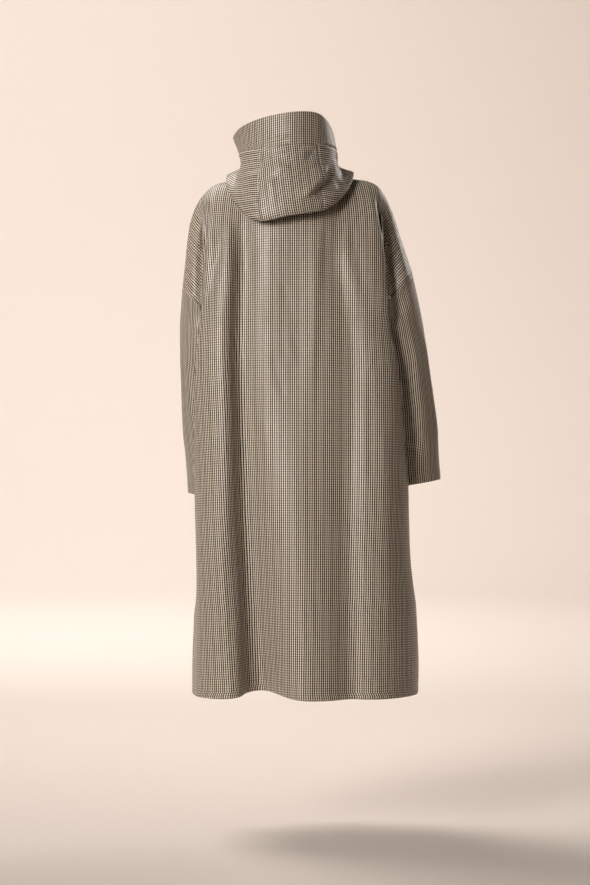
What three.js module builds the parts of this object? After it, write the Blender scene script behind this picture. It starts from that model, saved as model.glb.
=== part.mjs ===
// Hooded rain coat in its worn form: hollow, arms hanging, hood down and standing round the neck.
// Millimetres, +Z up. The origin is the middle of the neck's base, the front faces -Y and the
// coat's left side is at +X. "down" is a distance below the origin, "out" one away from the middle.
import * as THREE from "three";

const wall = 2.0; // cloth with its seams and coating
const hoodWall = 1.8;
const seamGap = 0.3; // between two pieces that are sewn together
const overlapStep = wall + 0.4; // how far the left front lies over the right one
const overlapHalf = 22; // each front runs this far past the middle
const overlapRamp = 45; // width over which the left front rises to lie on top

// torso sections from the underarm to the hem: widest places to each side, depths, squareness
const underarmDown = 322;
const hemDown = 1142;
const torsoRows = [
  { down: 322, left: 227, right: 240, back: 146, front: 150, square: 3.8 },
  { down: 430, left: 232, right: 253, back: 153, front: 156, square: 3.8 },
  { down: 530, left: 228, right: 254, back: 159, front: 163, square: 3.7 },
  { down: 670, left: 223, right: 261, back: 169, front: 174, square: 3.5 },
  { down: 830, left: 219, right: 267, back: 180, front: 186, square: 3.0 },
  { down: 930, left: 218, right: 277, back: 186, front: 193, square: 2.8 },
  { down: 1070, left: 223, right: 284, back: 194, front: 201, square: 2.6 },
  { down: 1142, left: 223, right: 283, back: 198, front: 205, square: 2.6 },
];
const sideSeamY = -8;
const hemRise = { at: 60, reach: 55, height: 14, startDown: 980 }; // the hem lifts in the deep trough

// soft troughs that hang down the panels: place across, reach to each side, depth, by height
const backTroughs = [
  { name: "deep trough left of the middle", rows: [
    { down: 60, at: 118, outer: 12, inner: 30, depth: 0 },
    { down: 200, at: 114, outer: 15, inner: 40, depth: 8 },
    { down: 430, at: 109, outer: 20, inner: 55, depth: 16 },
    { down: 690, at: 102, outer: 28, inner: 62, depth: 30 },
    { down: 930, at: 84, outer: 36, inner: 62, depth: 50 },
    { down: 1142, at: 66, outer: 42, inner: 52, depth: 74 },
  ] },
  { name: "shallow trough right of the middle", rows: [
    { down: 80, at: -88, outer: 20, inner: 18, depth: 0 },
    { down: 380, at: -136, outer: 30, inner: 46, depth: 9 },
    { down: 690, at: -128, outer: 34, inner: 48, depth: 14 },
    { down: 1142, at: -136, outer: 38, inner: 44, depth: 20 },
  ] },
];
const frontTroughs = [
  { name: "trough on the left front", rows: [
    { down: 120, at: 112, outer: 22, inner: 26, depth: 0 },
    { down: 430, at: 106, outer: 28, inner: 34, depth: 12 },
    { down: 800, at: 112, outer: 34, inner: 38, depth: 24 },
    { down: 1142, at: 118, outer: 38, inner: 42, depth: 40 },
  ] },
  { name: "trough on the right front", rows: [
    { down: 140, at: -104, outer: 22, inner: 26, depth: 0 },
    { down: 430, at: -118, outer: 30, inner: 32, depth: 10 },
    { down: 800, at: -128, outer: 38, inner: 36, depth: 22 },
    { down: 1142, at: -140, outer: 42, inner: 40, depth: 36 },
  ] },
];

// the outline over each shoulder and down the arm to the armhole seam, by share of the panel
const shoulderRows = {
  left: [
    { share: 0.3, out: 92, down: -14 },
    { share: 0.4, out: 118, down: -6 },
    { share: 0.5, out: 150, down: 1 },
    { share: 0.56, out: 170, down: 7 },
    { share: 0.62, out: 189, down: 21 },
    { share: 0.7, out: 209, down: 46 },
    { share: 0.78, out: 225, down: 82 },
    { share: 0.86, out: 234, down: 124 },
    { share: 0.93, out: 239, down: 178 },
    { share: 1, out: 245, down: 237 },
  ],
  right: [
    { share: 0.3, out: 92, down: -14 },
    { share: 0.4, out: 118, down: -8 },
    { share: 0.5, out: 148, down: -4 },
    { share: 0.56, out: 168, down: -1 },
    { share: 0.62, out: 190, down: 10 },
    { share: 0.7, out: 211, down: 38 },
    { share: 0.78, out: 229, down: 80 },
    { share: 0.86, out: 242, down: 122 },
    { share: 0.93, out: 256, down: 164 },
    { share: 1, out: 270, down: 206 },
  ],
};
const seamTurn = { left: 0.55, right: 0 }; // how far the shoulder seam turns to the back of the arm

// sleeve sections from the armhole seam to the cuff: outer and inner edge, middle in Y, half depth
const sleeveRows = {
  left: [
    { place: 0, outer: 245, outerDown: 237, inner: 158, innerDown: 322, middle: -6, half: 90 },
    { place: 0.25, outer: 251, outerDown: 330, inner: 152, innerDown: 398, middle: -10, half: 84 },
    { place: 0.5, outer: 248, outerDown: 440, inner: 147, innerDown: 490, middle: -18, half: 80 },
    { place: 0.75, outer: 243, outerDown: 565, inner: 143, innerDown: 592, middle: -30, half: 76 },
    { place: 1, outer: 234, outerDown: 697, inner: 140, innerDown: 708, middle: -40, half: 72 },
  ],
  right: [
    { place: 0, outer: 270, outerDown: 206, inner: 172, innerDown: 322, middle: -6, half: 90 },
    { place: 0.25, outer: 294, outerDown: 318, inner: 184, innerDown: 398, middle: -10, half: 84 },
    { place: 0.5, outer: 313, outerDown: 440, inner: 196, innerDown: 484, middle: -18, half: 79 },
    { place: 0.75, outer: 327, outerDown: 556, inner: 210, innerDown: 582, middle: -28, half: 74 },
    { place: 1, outer: 335, outerDown: 666, inner: 224, innerDown: 684, middle: -38, half: 69 },
  ],
};
const armClearance = 8; // between a hanging sleeve and the side of the coat

// neckline, by the turn in degrees from the middle of the back
const neckRows = [
  { turn: 0, out: 72, down: -14 },
  { turn: 45, out: 80, down: -15 },
  { turn: 90, out: 92, down: -14 },
  { turn: 130, out: 93, down: 6 },
  { turn: 180, out: 94, down: 50 },
];

// the hood's section at each turn: lowest fold, belly, brim seam and rim, out from the middle
const hoodRows = [
  { turn: -168, fold: 95, foldDown: 38, belly: 95, bellyDown: 20, seam: 95, seamDown: 6, rim: 99, rimDown: -62 },
  { turn: -130, fold: 108, foldDown: -6, belly: 106, bellyDown: -16, seam: 101, seamDown: -32, rim: 99, rimDown: -78 },
  { turn: -90, fold: 136, foldDown: -13, belly: 105, bellyDown: -34, seam: 99, seamDown: -60, rim: 94, rimDown: -94 },
  { turn: -75, fold: 140, foldDown: 3, belly: 111, bellyDown: -25, seam: 104, seamDown: -66, rim: 95, rimDown: -107 },
  { turn: -60, fold: 143, foldDown: 28, belly: 122, bellyDown: -14, seam: 110, seamDown: -71, rim: 98, rimDown: -122 },
  { turn: -30, fold: 152, foldDown: 64, belly: 142, bellyDown: 0, seam: 122, seamDown: -75, rim: 108, rimDown: -146 },
  { turn: 0, fold: 160, foldDown: 77, belly: 150, bellyDown: 4, seam: 128, seamDown: -77, rim: 110, rimDown: -145 },
  { turn: 30, fold: 162, foldDown: 87, belly: 150, bellyDown: 8, seam: 127, seamDown: -66, rim: 114, rimDown: -137 },
  { turn: 60, fold: 154, foldDown: 42, belly: 136, bellyDown: -4, seam: 124, seamDown: -62, rim: 124, rimDown: -120 },
  { turn: 75, fold: 150, foldDown: 11, belly: 121, bellyDown: -24, seam: 121, seamDown: -61, rim: 129, rimDown: -107 },
  { turn: 90, fold: 142, foldDown: -6, belly: 114, bellyDown: -32, seam: 118, seamDown: -60, rim: 131, rimDown: -95 },
  { turn: 130, fold: 110, foldDown: -5, belly: 107, bellyDown: -14, seam: 104, seamDown: -34, rim: 116, rimDown: -78 },
  { turn: 168, fold: 95, foldDown: 38, belly: 95, bellyDown: 20, seam: 95, seamDown: 6, rim: 99, rimDown: -62 },
];
const hoodPanelTurn = 27; // half of the center panel, in degrees round the neck
const hoodFrontTurn = 168; // the hood's front edges
const neckSeamGap = 0.8; // the hood's seam above the neckline
const frontLift = 3; // more of it where the fronts lie on each other

// side vents, hem corners, buttons
const ventTopDown = 880;
const ventGap = 16;
const cornerRadius = 55;
const buttonDowns = [90, 240, 390, 540, 690, 840];
const buttonRadius = 8;
const buttonHeight = 3.2;
const buttonGap = 0.75;

const clothColor = 0x9a8d76;
const buttonColor = 0x3a332c;

const sideOf = { left: 1, right: -1 };

const mix = (a, b, k) => a + (b - a) * k;
const clamp = (value, low, high) => Math.min(high, Math.max(low, value));

function ease(value) {
  const k = clamp(value, 0, 1);
  return k * k * (3 - 2 * k);
}

// smaller of two values, rounded off where they meet
function softMin(a, b, reach) {
  const k = clamp(0.5 + (0.5 * (b - a)) / reach, 0, 1);
  return mix(b, a, k) - reach * k * (1 - k);
}

// a named column of a table as a smooth curve over its key column
function along(rows, key, column, at) {
  const last = rows.length - 1;
  if (at <= rows[0][key]) return rows[0][column];
  if (at >= rows[last][key]) return rows[last][column];
  const i = rows.findIndex((row) => row[key] > at) - 1;
  const slope = (j) => {
    const before = rows[Math.max(0, j - 1)];
    const after = rows[Math.min(last, j + 1)];
    return (after[column] - before[column]) / (after[key] - before[key]);
  };
  const span = rows[i + 1][key] - rows[i][key];
  const k = (at - rows[i][key]) / span;
  const hold = k * k * (3 - 2 * k);
  const start = k * (1 - k) * (1 - k) * slope(i) * span;
  const end = k * k * (k - 1) * slope(i + 1) * span;
  return mix(rows[i][column], rows[i + 1][column], hold) + start + end;
}

function neckPoint(turn) {
  const angle = THREE.MathUtils.degToRad(turn);
  const out = along(neckRows, "turn", "out", Math.abs(turn));
  const down = along(neckRows, "turn", "down", Math.abs(turn));
  return new THREE.Vector3(out * Math.sin(angle), out * Math.cos(angle), -down);
}

// how far out the torso may reach beside the hanging sleeve
function armLimit(side, down, y) {
  const rows = sleeveRows[side];
  const cuffDown = rows[rows.length - 1].innerDown;
  const at = Math.min(down, cuffDown);
  const inner = along(rows, "innerDown", "inner", at);
  const middle = along(rows, "innerDown", "middle", at);
  const reach = Math.abs(y - middle);
  const gap = armClearance * Math.max(ease((down - underarmDown) / 70), ease((reach - 15) / 50));
  const half = along(rows, "innerDown", "half", at) + gap;
  const round = Math.min(reach, half * 0.9) / half;
  const bulge = 50 * (1 - Math.sqrt(1 - round * round)) + 1.6 * Math.max(0, reach - half * 0.9);
  return inner - gap + bulge;
}

// one quarter of a torso section, from the middle to the side seam, as evenly spaced as its arc
const sectionSteps = 90;
const sectionCache = new Map();
function section(side, face, down) {
  const name = [side, face, down].join(" ");
  if (sectionCache.has(name)) return sectionCache.get(name);
  const width = along(torsoRows, "down", side, down);
  const depth = along(torsoRows, "down", face, down) * (face === "back" ? 1 : -1);
  const power = 2 / along(torsoRows, "down", "square", down);
  const cuffDown = sleeveRows[side][sleeveRows[side].length - 1].innerDown;
  const belowCuff = ease((down - cuffDown - 5) / 260);
  const points = [];
  let length = 0;
  for (let i = 0; i <= sectionSteps; i++) {
    const angle = (i / sectionSteps) * (Math.PI / 2);
    const y = sideSeamY + (depth - sideSeamY) * Math.cos(angle) ** power;
    const free = width * Math.sin(angle) ** power;
    const x = mix(softMin(free, armLimit(side, down, y), 22), free, belowCuff);
    if (i > 0) length += Math.hypot(x - points[i - 1].x, y - points[i - 1].y);
    points.push({ x: i === 0 ? 0 : x, y: i === sectionSteps ? sideSeamY : y, length });
  }
  sectionCache.set(name, points);
  return points;
}

function trough(list, x, down) {
  let depth = 0;
  for (const { rows } of list) {
    const at = along(rows, "down", "at", down);
    const away = x > at === at > 0 ? "outer" : "inner";
    const reach = along(rows, "down", away, down);
    depth += along(rows, "down", "depth", down) * Math.exp(-(((x - at) / reach) ** 2));
  }
  return depth;
}

// share 0 is the middle of the panel and share 1 its side seam
function torsoPoint(side, face, share, down) {
  const points = section(side, face, down);
  const want = clamp(share, 0, 1) * points[sectionSteps].length;
  let i = 1;
  while (i < sectionSteps && points[i].length < want) i += 1;
  const k = (want - points[i - 1].length) / (points[i].length - points[i - 1].length);
  const x = mix(points[i - 1].x, points[i].x, k) * sideOf[side];
  const y = mix(points[i - 1].y, points[i].y, k);
  return new THREE.Vector3(x, y, -down);
}

// above the underarm a column runs from the neckline or the shoulder seam to the underarm level;
// rise 0 is at the seam and rise 1 at the underarm
function yokePoint(side, face, share, rise) {
  const sign = sideOf[side];
  const under = torsoPoint(side, face, share, underarmDown);
  const rows = shoulderRows[side];
  const neckShare = rows[0].share;
  if (share < neckShare) {
    const turn = face === "back" ? (90 * share) / neckShare : 180 - (90 * share) / neckShare;
    const top = neckPoint(turn * sign);
    return arch(top, under, rise);
  }
  const ridge = new THREE.Vector3(along(rows, "share", "out", share) * sign, 0, -along(rows, "share", "down", share));
  const body = arch(ridge, under, rise);
  const onArm = ease((share - 0.52) / (1 - 0.52));
  if (onArm === 0) return body;
  const armpit = torsoPoint(side, face, 1, underarmDown);
  const inner = new THREE.Vector3(mix(ridge.x - 60 * sign, armpit.x, share), armpit.y, -underarmDown);
  const half = sleeveRows[side][0].half;
  const turnStart = seamTurn[side] * onArm;
  const turn = face === "back" ? mix(turnStart, Math.PI, rise) : mix(turnStart, -Math.PI, rise);
  const arm = ridge.clone().lerp(inner, (1 - Math.cos(turn)) / 2);
  arm.y = mix(ridge.y, armpit.y, (1 - Math.cos(turn)) / 2) + half * Math.sin(turn);
  arm.addScaledVector(under.clone().sub(inner), rise ** 4);
  return body.lerp(arm, onArm);
}

// quarter arch that leaves the top level and arrives at the bottom hanging straight down
function arch(top, bottom, rise) {
  const angle = (rise * Math.PI) / 2;
  const level = 1 - Math.cos(angle);
  const back = Math.sin(angle) ** 1.2;
  return new THREE.Vector3(mix(top.x, bottom.x, rise), mix(top.y, bottom.y, back), mix(top.z, bottom.z, level));
}

// the crease between the body of the coat and the arm, which starts below the shoulder
function armCrease(share, rise) {
  const across = Math.exp(-(((share - 0.71) / 0.045) ** 2));
  return 18 * across * ease((rise - 0.25) / 0.3) * (1 - ease((rise - 0.62) / 0.25));
}

// share of a panel that the vent and the rounded hem corner take away at its side
function ventShare(down) {
  const panelWidth = 400;
  const open = ventGap * ease((down - ventTopDown) / 90);
  const over = clamp((down - (hemDown - cornerRadius)) / cornerRadius, 0, 1);
  const corner = cornerRadius * (1 - Math.sqrt(1 - over * over));
  return (open + corner) / panelWidth;
}

// a point of the coat's body: place runs from -1 at the right side seam to 1 at the left one,
// level from 0 at the neck and shoulder seam over 1 at the underarm to 2 at the hem. Past a seam
// it goes on along the next piece.
function bodyPoint(face, place, level) {
  const side = place < 0 ? "right" : "left";
  const otherFace = face === "back" ? "front" : "back";
  const share = Math.abs(place);
  if (level < 0) {
    return share < shoulderRows[side][0].share ? bodyPoint(face, place, 0) : bodyPoint(otherFace, place, -level);
  }
  const down = mix(underarmDown, hemDown, Math.max(0, level - 1));
  if (share > 1) {
    if (level < 1) return sleevePoint(side, share - 1, armTurn(side, face, level));
    if (down > ventTopDown) return bodyPoint(face, Math.sign(place), level);
    return bodyPoint(otherFace, Math.sign(place) * (2 - share), level);
  }
  const outward = face === "back" ? 1 : -1;
  let point;
  if (level < 1) {
    point = yokePoint(side, face, share, level);
    point.y -= outward * armCrease(share, level);
  } else {
    point = torsoPoint(side, face, share * (1 - ventShare(down)), down);
  }
  const facing = 1 - ease((share - 0.55) / 0.15);
  point.y -= outward * facing * trough(face === "back" ? backTroughs : frontTroughs, point.x, -point.z);
  if (face === "back") {
    const across = Math.exp(-(((point.x - hemRise.at) / hemRise.reach) ** 2));
    point.z += hemRise.height * across * ease((down - hemRise.startDown) / (hemDown - hemRise.startDown));
  }
  return point;
}

// turn round the arm at a level of the armhole edge, and the way back
function armTurn(side, face, level) {
  return mix(seamTurn[side], face === "back" ? Math.PI : -Math.PI, level);
}

function armLevel(side, turn) {
  const start = seamTurn[side];
  return turn >= start ? (turn - start) / (Math.PI - start) : (start - turn) / (Math.PI + start);
}

// a sleeve starts on the armhole's own points, turn 0 is its outer edge and pi its underarm
function sleevePoint(side, place, turn) {
  const around = turn > Math.PI ? turn - 2 * Math.PI : turn;
  if (place < 0) {
    const face = around >= seamTurn[side] ? "back" : "front";
    return bodyPoint(face, sideOf[side] * (1 + place), Math.min(0.999, armLevel(side, around)));
  }
  const rows = sleeveRows[side];
  const armpit = torsoPoint(side, "back", 1, underarmDown);
  const free = ease(place * 4);
  const read = (column) => along(rows, "place", column, place);
  const innerStart = Math.abs(armpit.x) - rows[0].inner;
  const outer = new THREE.Vector3(read("outer"), mix(0, read("middle"), free), -read("outerDown"));
  const innerX = read("inner") + innerStart * (1 - free) + 2 * seamGap;
  const inner = new THREE.Vector3(innerX, mix(sideSeamY, read("middle"), free), -read("innerDown"));
  const point = outer.lerp(inner, (1 - Math.cos(around)) / 2);
  point.y += read("half") * Math.sin(around);
  point.x *= sideOf[side];
  return point;
}

// the hood's section at one turn: nape seam, underside, lowest fold, belly, brim seam, rim
function hoodSection(turn) {
  const read = (column) => along(hoodRows, "turn", column, turn);
  const neckOut = along(neckRows, "turn", "out", Math.abs(turn));
  const lift = neckSeamGap + frontLift * ease((Math.abs(turn) - 115) / 35);
  const neckDown = along(neckRows, "turn", "down", Math.abs(turn)) - lift;
  const roll = 10 * clamp((read("fold") - neckOut) / 50, 0.05, 1);
  return [
    { at: 0, out: neckOut, down: neckDown },
    { at: 1, out: mix(neckOut, read("fold"), 0.5), down: mix(neckDown, read("foldDown"), 0.2) - 0.25 * roll },
    { at: 2, out: read("fold") - roll, down: read("foldDown") },
    { at: 3, out: read("fold"), down: read("foldDown") - roll },
    { at: 4, out: read("belly"), down: read("bellyDown") },
    { at: 5, out: read("seam"), down: read("seamDown") },
    { at: 6, out: read("rim"), down: read("rimDown") },
  ];
}

// the left seam of the center panel leans: it starts further left at the brim than at the fold
function hoodPoint(place, at) {
  const lean = mix(-4, 6, clamp((at - 2) / 3, 0, 1));
  const turn = place + lean * ease(1 - Math.abs(place - hoodPanelTurn) / 45);
  const rows = hoodSection(turn);
  const angle = THREE.MathUtils.degToRad(turn);
  const out = along(rows, "at", "out", at);
  return new THREE.Vector3(out * Math.sin(angle), out * Math.cos(angle), -along(rows, "at", "down", at));
}

// outward direction of a surface that is given as a function of row and column
function outward(surface, row, column, rowStep, columnStep) {
  const across = surface(row, column + columnStep).sub(surface(row, column - columnStep));
  const down = surface(row + rowStep, column).sub(surface(row - rowStep, column));
  return across.cross(down).normalize();
}

// closed cloth wall through a grid of rows and columns of a surface; rows run down, columns run
// to the right as seen from outside, and edges that meet another piece are drawn back from it
function clothWall(name, { surface, rows, columns, thickness, drawnBack, round = false, steps }) {
  const rowCount = rows.length;
  const columnCount = columns(rows[0]).length;
  const outer = rows.map((row) => columns(row).map((column) => surface(row, column)));
  const inner = rows.map((row, i) => columns(row).map((column, j) => {
    const normal = outward(surface, row, column, ...steps);
    return outer[i][j].clone().addScaledVector(normal, -thickness);
  }));
  for (const [edge, distance] of Object.entries(drawnBack)) {
    pullBack(outer, edge, distance);
    pullBack(inner, edge, distance);
  }
  const positions = [...outer.flat(), ...inner.flat()].flatMap((p) => [p.x, p.y, p.z]);
  const outerAt = (i, j) => i * columnCount + (j % columnCount);
  const innerAt = (i, j) => outerAt(i, j) + rowCount * columnCount;
  const faces = [];
  const quad = (a, b, c, d) => faces.push(a, c, b, a, d, c);
  const strips = round ? columnCount : columnCount - 1;
  const end = rowCount - 1;
  for (let j = 0; j < strips; j++) {
    for (let i = 0; i < end; i++) {
      quad(outerAt(i, j), outerAt(i + 1, j), outerAt(i + 1, j + 1), outerAt(i, j + 1));
      quad(innerAt(i, j), innerAt(i, j + 1), innerAt(i + 1, j + 1), innerAt(i + 1, j));
    }
    quad(outerAt(0, j), outerAt(0, j + 1), innerAt(0, j + 1), innerAt(0, j));
    quad(outerAt(end, j), innerAt(end, j), innerAt(end, j + 1), outerAt(end, j + 1));
  }
  if (!round) {
    for (let i = 0; i < end; i++) {
      quad(outerAt(i, 0), innerAt(i, 0), innerAt(i + 1, 0), outerAt(i + 1, 0));
      quad(outerAt(i, strips), outerAt(i + 1, strips), innerAt(i + 1, strips), innerAt(i, strips));
    }
  }
  const geometry = new THREE.BufferGeometry();
  geometry.setAttribute("position", new THREE.Float32BufferAttribute(positions, 3));
  geometry.setIndex(faces);
  geometry.computeVertexNormals();
  const material = new THREE.MeshStandardMaterial({ color: clothColor, roughness: 0.55, metalness: 0 });
  const mesh = new THREE.Mesh(geometry, material);
  mesh.name = name;
  return mesh;
}

// moves an edge of a grid back from the seam, toward the row or column beside it
function pullBack(rows, edge, distance) {
  const last = rows.length - 1;
  const end = rows[0].length - 1;
  const pull = (point, toward) => point.addScaledVector(toward.clone().sub(point).normalize(), distance);
  if (edge === "top") rows[0].forEach((point, j) => pull(point, rows[1][j]));
  if (edge === "bottom") rows[last].forEach((point, j) => pull(point, rows[last - 1][j]));
  if (edge === "start") rows.forEach((row) => pull(row[0], row[1]));
  if (edge === "end") rows.forEach((row) => pull(row[end], row[end - 1]));
}

// places across a half panel, closer together round the neck and over the arm
const neckShares = [0.05, 0.1, 0.15, 0.2, 0.25, 0.3];
const armShares = [0.36, 0.43, 0.5, 0.56, 0.61, 0.65, 0.69, 0.73, 0.78, 0.83, 0.88, 0.94, 1];
// levels over the shoulder and down to the hem, closer together at the hem's corners
const yokeLevels = [0, 0.1, 0.2, 0.31, 0.42, 0.53, 0.64, 0.75, 0.86, 0.94];
const torsoLevels = [1, 1.07, 1.15, 1.24, 1.33, 1.42, 1.51, 1.6, 1.69, 1.78, 1.86, 1.93, 1.96, 1.98, 2];
const levels = [...yokeLevels, ...torsoLevels];
const sewn = seamGap * 0.6;

// Each panel is one cut piece of cloth. Its solid is divided at the underarm and where the arm
// leaves the body, so that what stands for it in a collision can follow its hollow side.
const dividedLevel = yokeLevels.length;
const dividedGap = 0.2;

function panelParts(panel, parts) {
  return parts.map(({ name, lower, from, to, drawnBack }) => clothWall(name, {
    ...panel,
    rows: lower ? levels.slice(dividedLevel) : levels.slice(0, dividedLevel + 1),
    columns: (level) => panel.columns(level).slice(from, to),
    thickness: wall,
    drawnBack: lower ? { top: dividedGap, ...drawnBack } : { top: sewn, bottom: dividedGap, ...drawnBack },
    steps: [0.01, 0.01],
  }));
}

function backPanel() {
  const half = [...neckShares, ...armShares];
  const places = [...half.map((share) => -share).reverse(), 0, ...half];
  const right = places.indexOf(-0.5);
  const left = places.indexOf(0.5);
  const panel = { surface: (level, place) => bodyPoint("back", place, level), columns: () => places };
  return panelParts(panel, [
    { name: "back_yoke", from: right, to: left + 1, drawnBack: { start: dividedGap, end: dividedGap } },
    { name: "back_shoulder_right", from: 0, to: right + 1, drawnBack: { start: sewn, end: dividedGap } },
    { name: "back_shoulder_left", from: left, drawnBack: { start: dividedGap, end: sewn } },
    { name: "back_skirt", lower: true, from: 0, drawnBack: { start: sewn, end: sewn } },
  ]);
}

// width from the middle to the side seam, which turns a distance from the middle into a share
function frontWidth(level) {
  return level < 1 ? mix(470, 335, ease(level)) : mix(335, 400, level - 1);
}

// each front runs a little past the middle, and the left one lies on the right one there
function frontPanel(side) {
  const flat = (level, column) => bodyPoint("front", -column, level);
  const lifted = (level, column) => {
    const point = flat(level, column);
    const rise = overlapStep * (1 - ease((point.x - overlapHalf - 6) / overlapRamp));
    return point.addScaledVector(outward(flat, level, column, 0.01, 0.01), rise);
  };
  const columns = (level) => {
    const nearMiddle = [-1, -0.5, 0, 0.5, 1].map((k) => (k * overlapHalf) / frontWidth(level));
    const places = [...nearMiddle, 0.12, 0.18, 0.24, 0.3, ...armShares];
    return side === "left" ? places.map((place) => -place).reverse() : places;
  };
  const name = "front_" + side;
  const panel = { surface: side === "left" ? lifted : flat, columns };
  const arm = columns(0).findIndex((place) => Math.abs(place) === 0.5);
  if (side === "left") {
    return panelParts(panel, [
      { name: name + "_yoke", from: arm, drawnBack: { start: dividedGap } },
      { name: name + "_shoulder", from: 0, to: arm + 1, drawnBack: { start: sewn, end: dividedGap } },
      { name: name + "_skirt", lower: true, from: 0, drawnBack: { start: sewn } },
    ]);
  }
  return panelParts(panel, [
    { name: name + "_yoke", from: 0, to: arm + 1, drawnBack: { end: dividedGap } },
    { name: name + "_shoulder", from: arm, drawnBack: { start: dividedGap, end: sewn } },
    { name: name + "_skirt", lower: true, from: 0, drawnBack: { end: sewn } },
  ]);
}

function sleeve(side) {
  const start = seamTurn[side];
  const rises = [...yokeLevels, 1];
  const turns = [
    ...rises.map((rise) => mix(start, Math.PI, rise)),
    ...rises.slice(1, -1).reverse().map((rise) => mix(start, -Math.PI, rise)),
  ];
  if (side === "left") turns.reverse();
  return clothWall("sleeve_" + side, {
    surface: (place, turn) => sleevePoint(side, place, turn),
    rows: [0, 0.06, 0.14, 0.24, 0.35, 0.47, 0.59, 0.71, 0.83, 0.93, 1],
    columns: () => turns,
    thickness: wall,
    drawnBack: { top: seamGap * 1.6 },
    round: true,
    steps: [0.01, side === "left" ? -0.02 : 0.02],
  });
}

function hoodPiece(name, turns, places, edges) {
  return clothWall(name, {
    surface: (row, turn) => hoodPoint(turn, -row),
    rows: places.map((place) => -place),
    columns: () => turns,
    thickness: hoodWall,
    drawnBack: Object.fromEntries(edges.map((edge) => [edge, sewn])),
    steps: [0.02, 0.5],
  });
}

// a low domed snap, turned round its middle, that sits on the left front
function button(name, down) {
  const radius = buttonRadius;
  const profile = [[0, 0], [radius, 0], [radius, 1.4], [radius - 1.5, 2.6], [radius - 4, 3.1], [0, buttonHeight]];
  const geometry = new THREE.LatheGeometry(profile.map(([r, h]) => new THREE.Vector2(r, h)), 14);
  const material = new THREE.MeshStandardMaterial({ color: buttonColor, roughness: 0.35, metalness: 0 });
  const mesh = new THREE.Mesh(geometry, material);
  let low = 0;
  let high = 2;
  for (let i = 0; i < 30; i++) {
    const half = (low + high) / 2;
    if (-bodyPoint("front", 0, half).z < down) low = half;
    else high = half;
  }
  const normal = outward((level, column) => bodyPoint("front", -column, level), low, 0, 0.02, 0.02);
  mesh.quaternion.setFromUnitVectors(new THREE.Vector3(0, 1, 0), normal);
  mesh.position.copy(bodyPoint("front", 0, low)).addScaledVector(normal, overlapStep + buttonGap);
  mesh.name = name;
  return mesh;
}

const crownPlaces = [5, 4.6, 4.2, 3.7, 3.3, 3, 2.75, 2.5, 2.25, 2, 1.8, 1.5, 1.1, 0.7, 0.35, 0];
const brimPlaces = [6, 5.7, 5.35, 5];

const evenly = (from, to, steps) => Array.from({ length: steps + 1 }, (_, i) => mix(from, to, i / steps));
const centerTurns = evenly(-hoodPanelTurn, hoodPanelTurn, 6);
const leftTurns = evenly(hoodPanelTurn, hoodFrontTurn, 12);
const rightTurns = evenly(-hoodFrontTurn, -hoodPanelTurn, 12);

const coat = new THREE.Group();
coat.add(...backPanel());
for (const side of ["left", "right"]) {
  coat.add(...frontPanel(side));
  coat.add(sleeve(side));
}
coat.add(hoodPiece("hood_center", centerTurns, crownPlaces, ["start", "end", "top"]));
coat.add(hoodPiece("hood_side_left", leftTurns, crownPlaces, ["start", "top"]));
coat.add(hoodPiece("hood_side_right", rightTurns, crownPlaces, ["end", "top"]));
coat.add(hoodPiece("hood_brim", [...rightTurns, ...centerTurns.slice(1, -1), ...leftTurns], brimPlaces, ["bottom"]));
buttonDowns.forEach((down, i) => coat.add(button("button_" + (i + 1), down)));

export default coat;
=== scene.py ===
from bisect import bisect_right
from math import cos, exp, hypot, inf, pi, radians, sin, sqrt

import bpy
import numpy as np
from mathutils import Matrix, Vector, noise


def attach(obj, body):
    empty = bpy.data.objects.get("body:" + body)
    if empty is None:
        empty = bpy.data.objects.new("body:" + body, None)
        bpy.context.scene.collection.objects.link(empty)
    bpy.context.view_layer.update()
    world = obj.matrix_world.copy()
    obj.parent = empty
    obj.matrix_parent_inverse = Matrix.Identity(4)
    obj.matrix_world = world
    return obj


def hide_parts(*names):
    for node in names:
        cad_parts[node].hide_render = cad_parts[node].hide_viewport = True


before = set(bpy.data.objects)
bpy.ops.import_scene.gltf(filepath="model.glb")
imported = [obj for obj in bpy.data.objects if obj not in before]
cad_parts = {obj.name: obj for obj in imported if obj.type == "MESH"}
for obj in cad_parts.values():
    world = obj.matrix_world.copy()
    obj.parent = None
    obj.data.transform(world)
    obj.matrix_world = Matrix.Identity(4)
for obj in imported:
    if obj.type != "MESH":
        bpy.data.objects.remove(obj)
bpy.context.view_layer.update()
print("frame loaded:", len(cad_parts), "nodes")

# The coat's own form is worked out in millimetres, as on the pattern table, and turned to metres
# when a mesh is made. "down" is below the neck's base, "out" away from the middle, the back is +Y.
mm = 0.001


def table(names, *rows):
    return {name: [row[i] for row in rows] for i, name in enumerate(names.split())}


coat = {
    "wall": 1.6,  # what shows at a raw edge: the coated cloth
    "underarmDown": 322,
    "hemDown": 1142,
    "sideSeamY": -8,
    "ventTopDown": 880,
    "ventGap": 16,
    "cornerRadius": 55,
    "armClearance": 8,
    "overlapStep": 2.4,  # the left front lies this far over the right one
    "overlapHalf": 22,
    "overlapRamp": 45,
    "hemWidth": 30,
    "cuffHem": 25,
    "ventHem": 12,
    "shoulderTurn": 22,
}

# sections of the body: widest places, depths to the back and the front, squareness
torsoRows = table(
    "down left right back front square",
    (322, 227, 240, 146, 150, 3.8),
    (430, 232, 253, 153, 156, 3.8),
    (530, 228, 254, 159, 163, 3.7),
    (670, 223, 261, 169, 174, 3.5),
    (830, 219, 267, 180, 186, 3.0),
    (930, 218, 277, 186, 193, 2.8),
    (1070, 223, 284, 194, 201, 2.6),
    (1142, 223, 283, 198, 205, 2.6),
)
hemRise = {"at": 60, "reach": 55, "height": 14, "startDown": 980}

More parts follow.
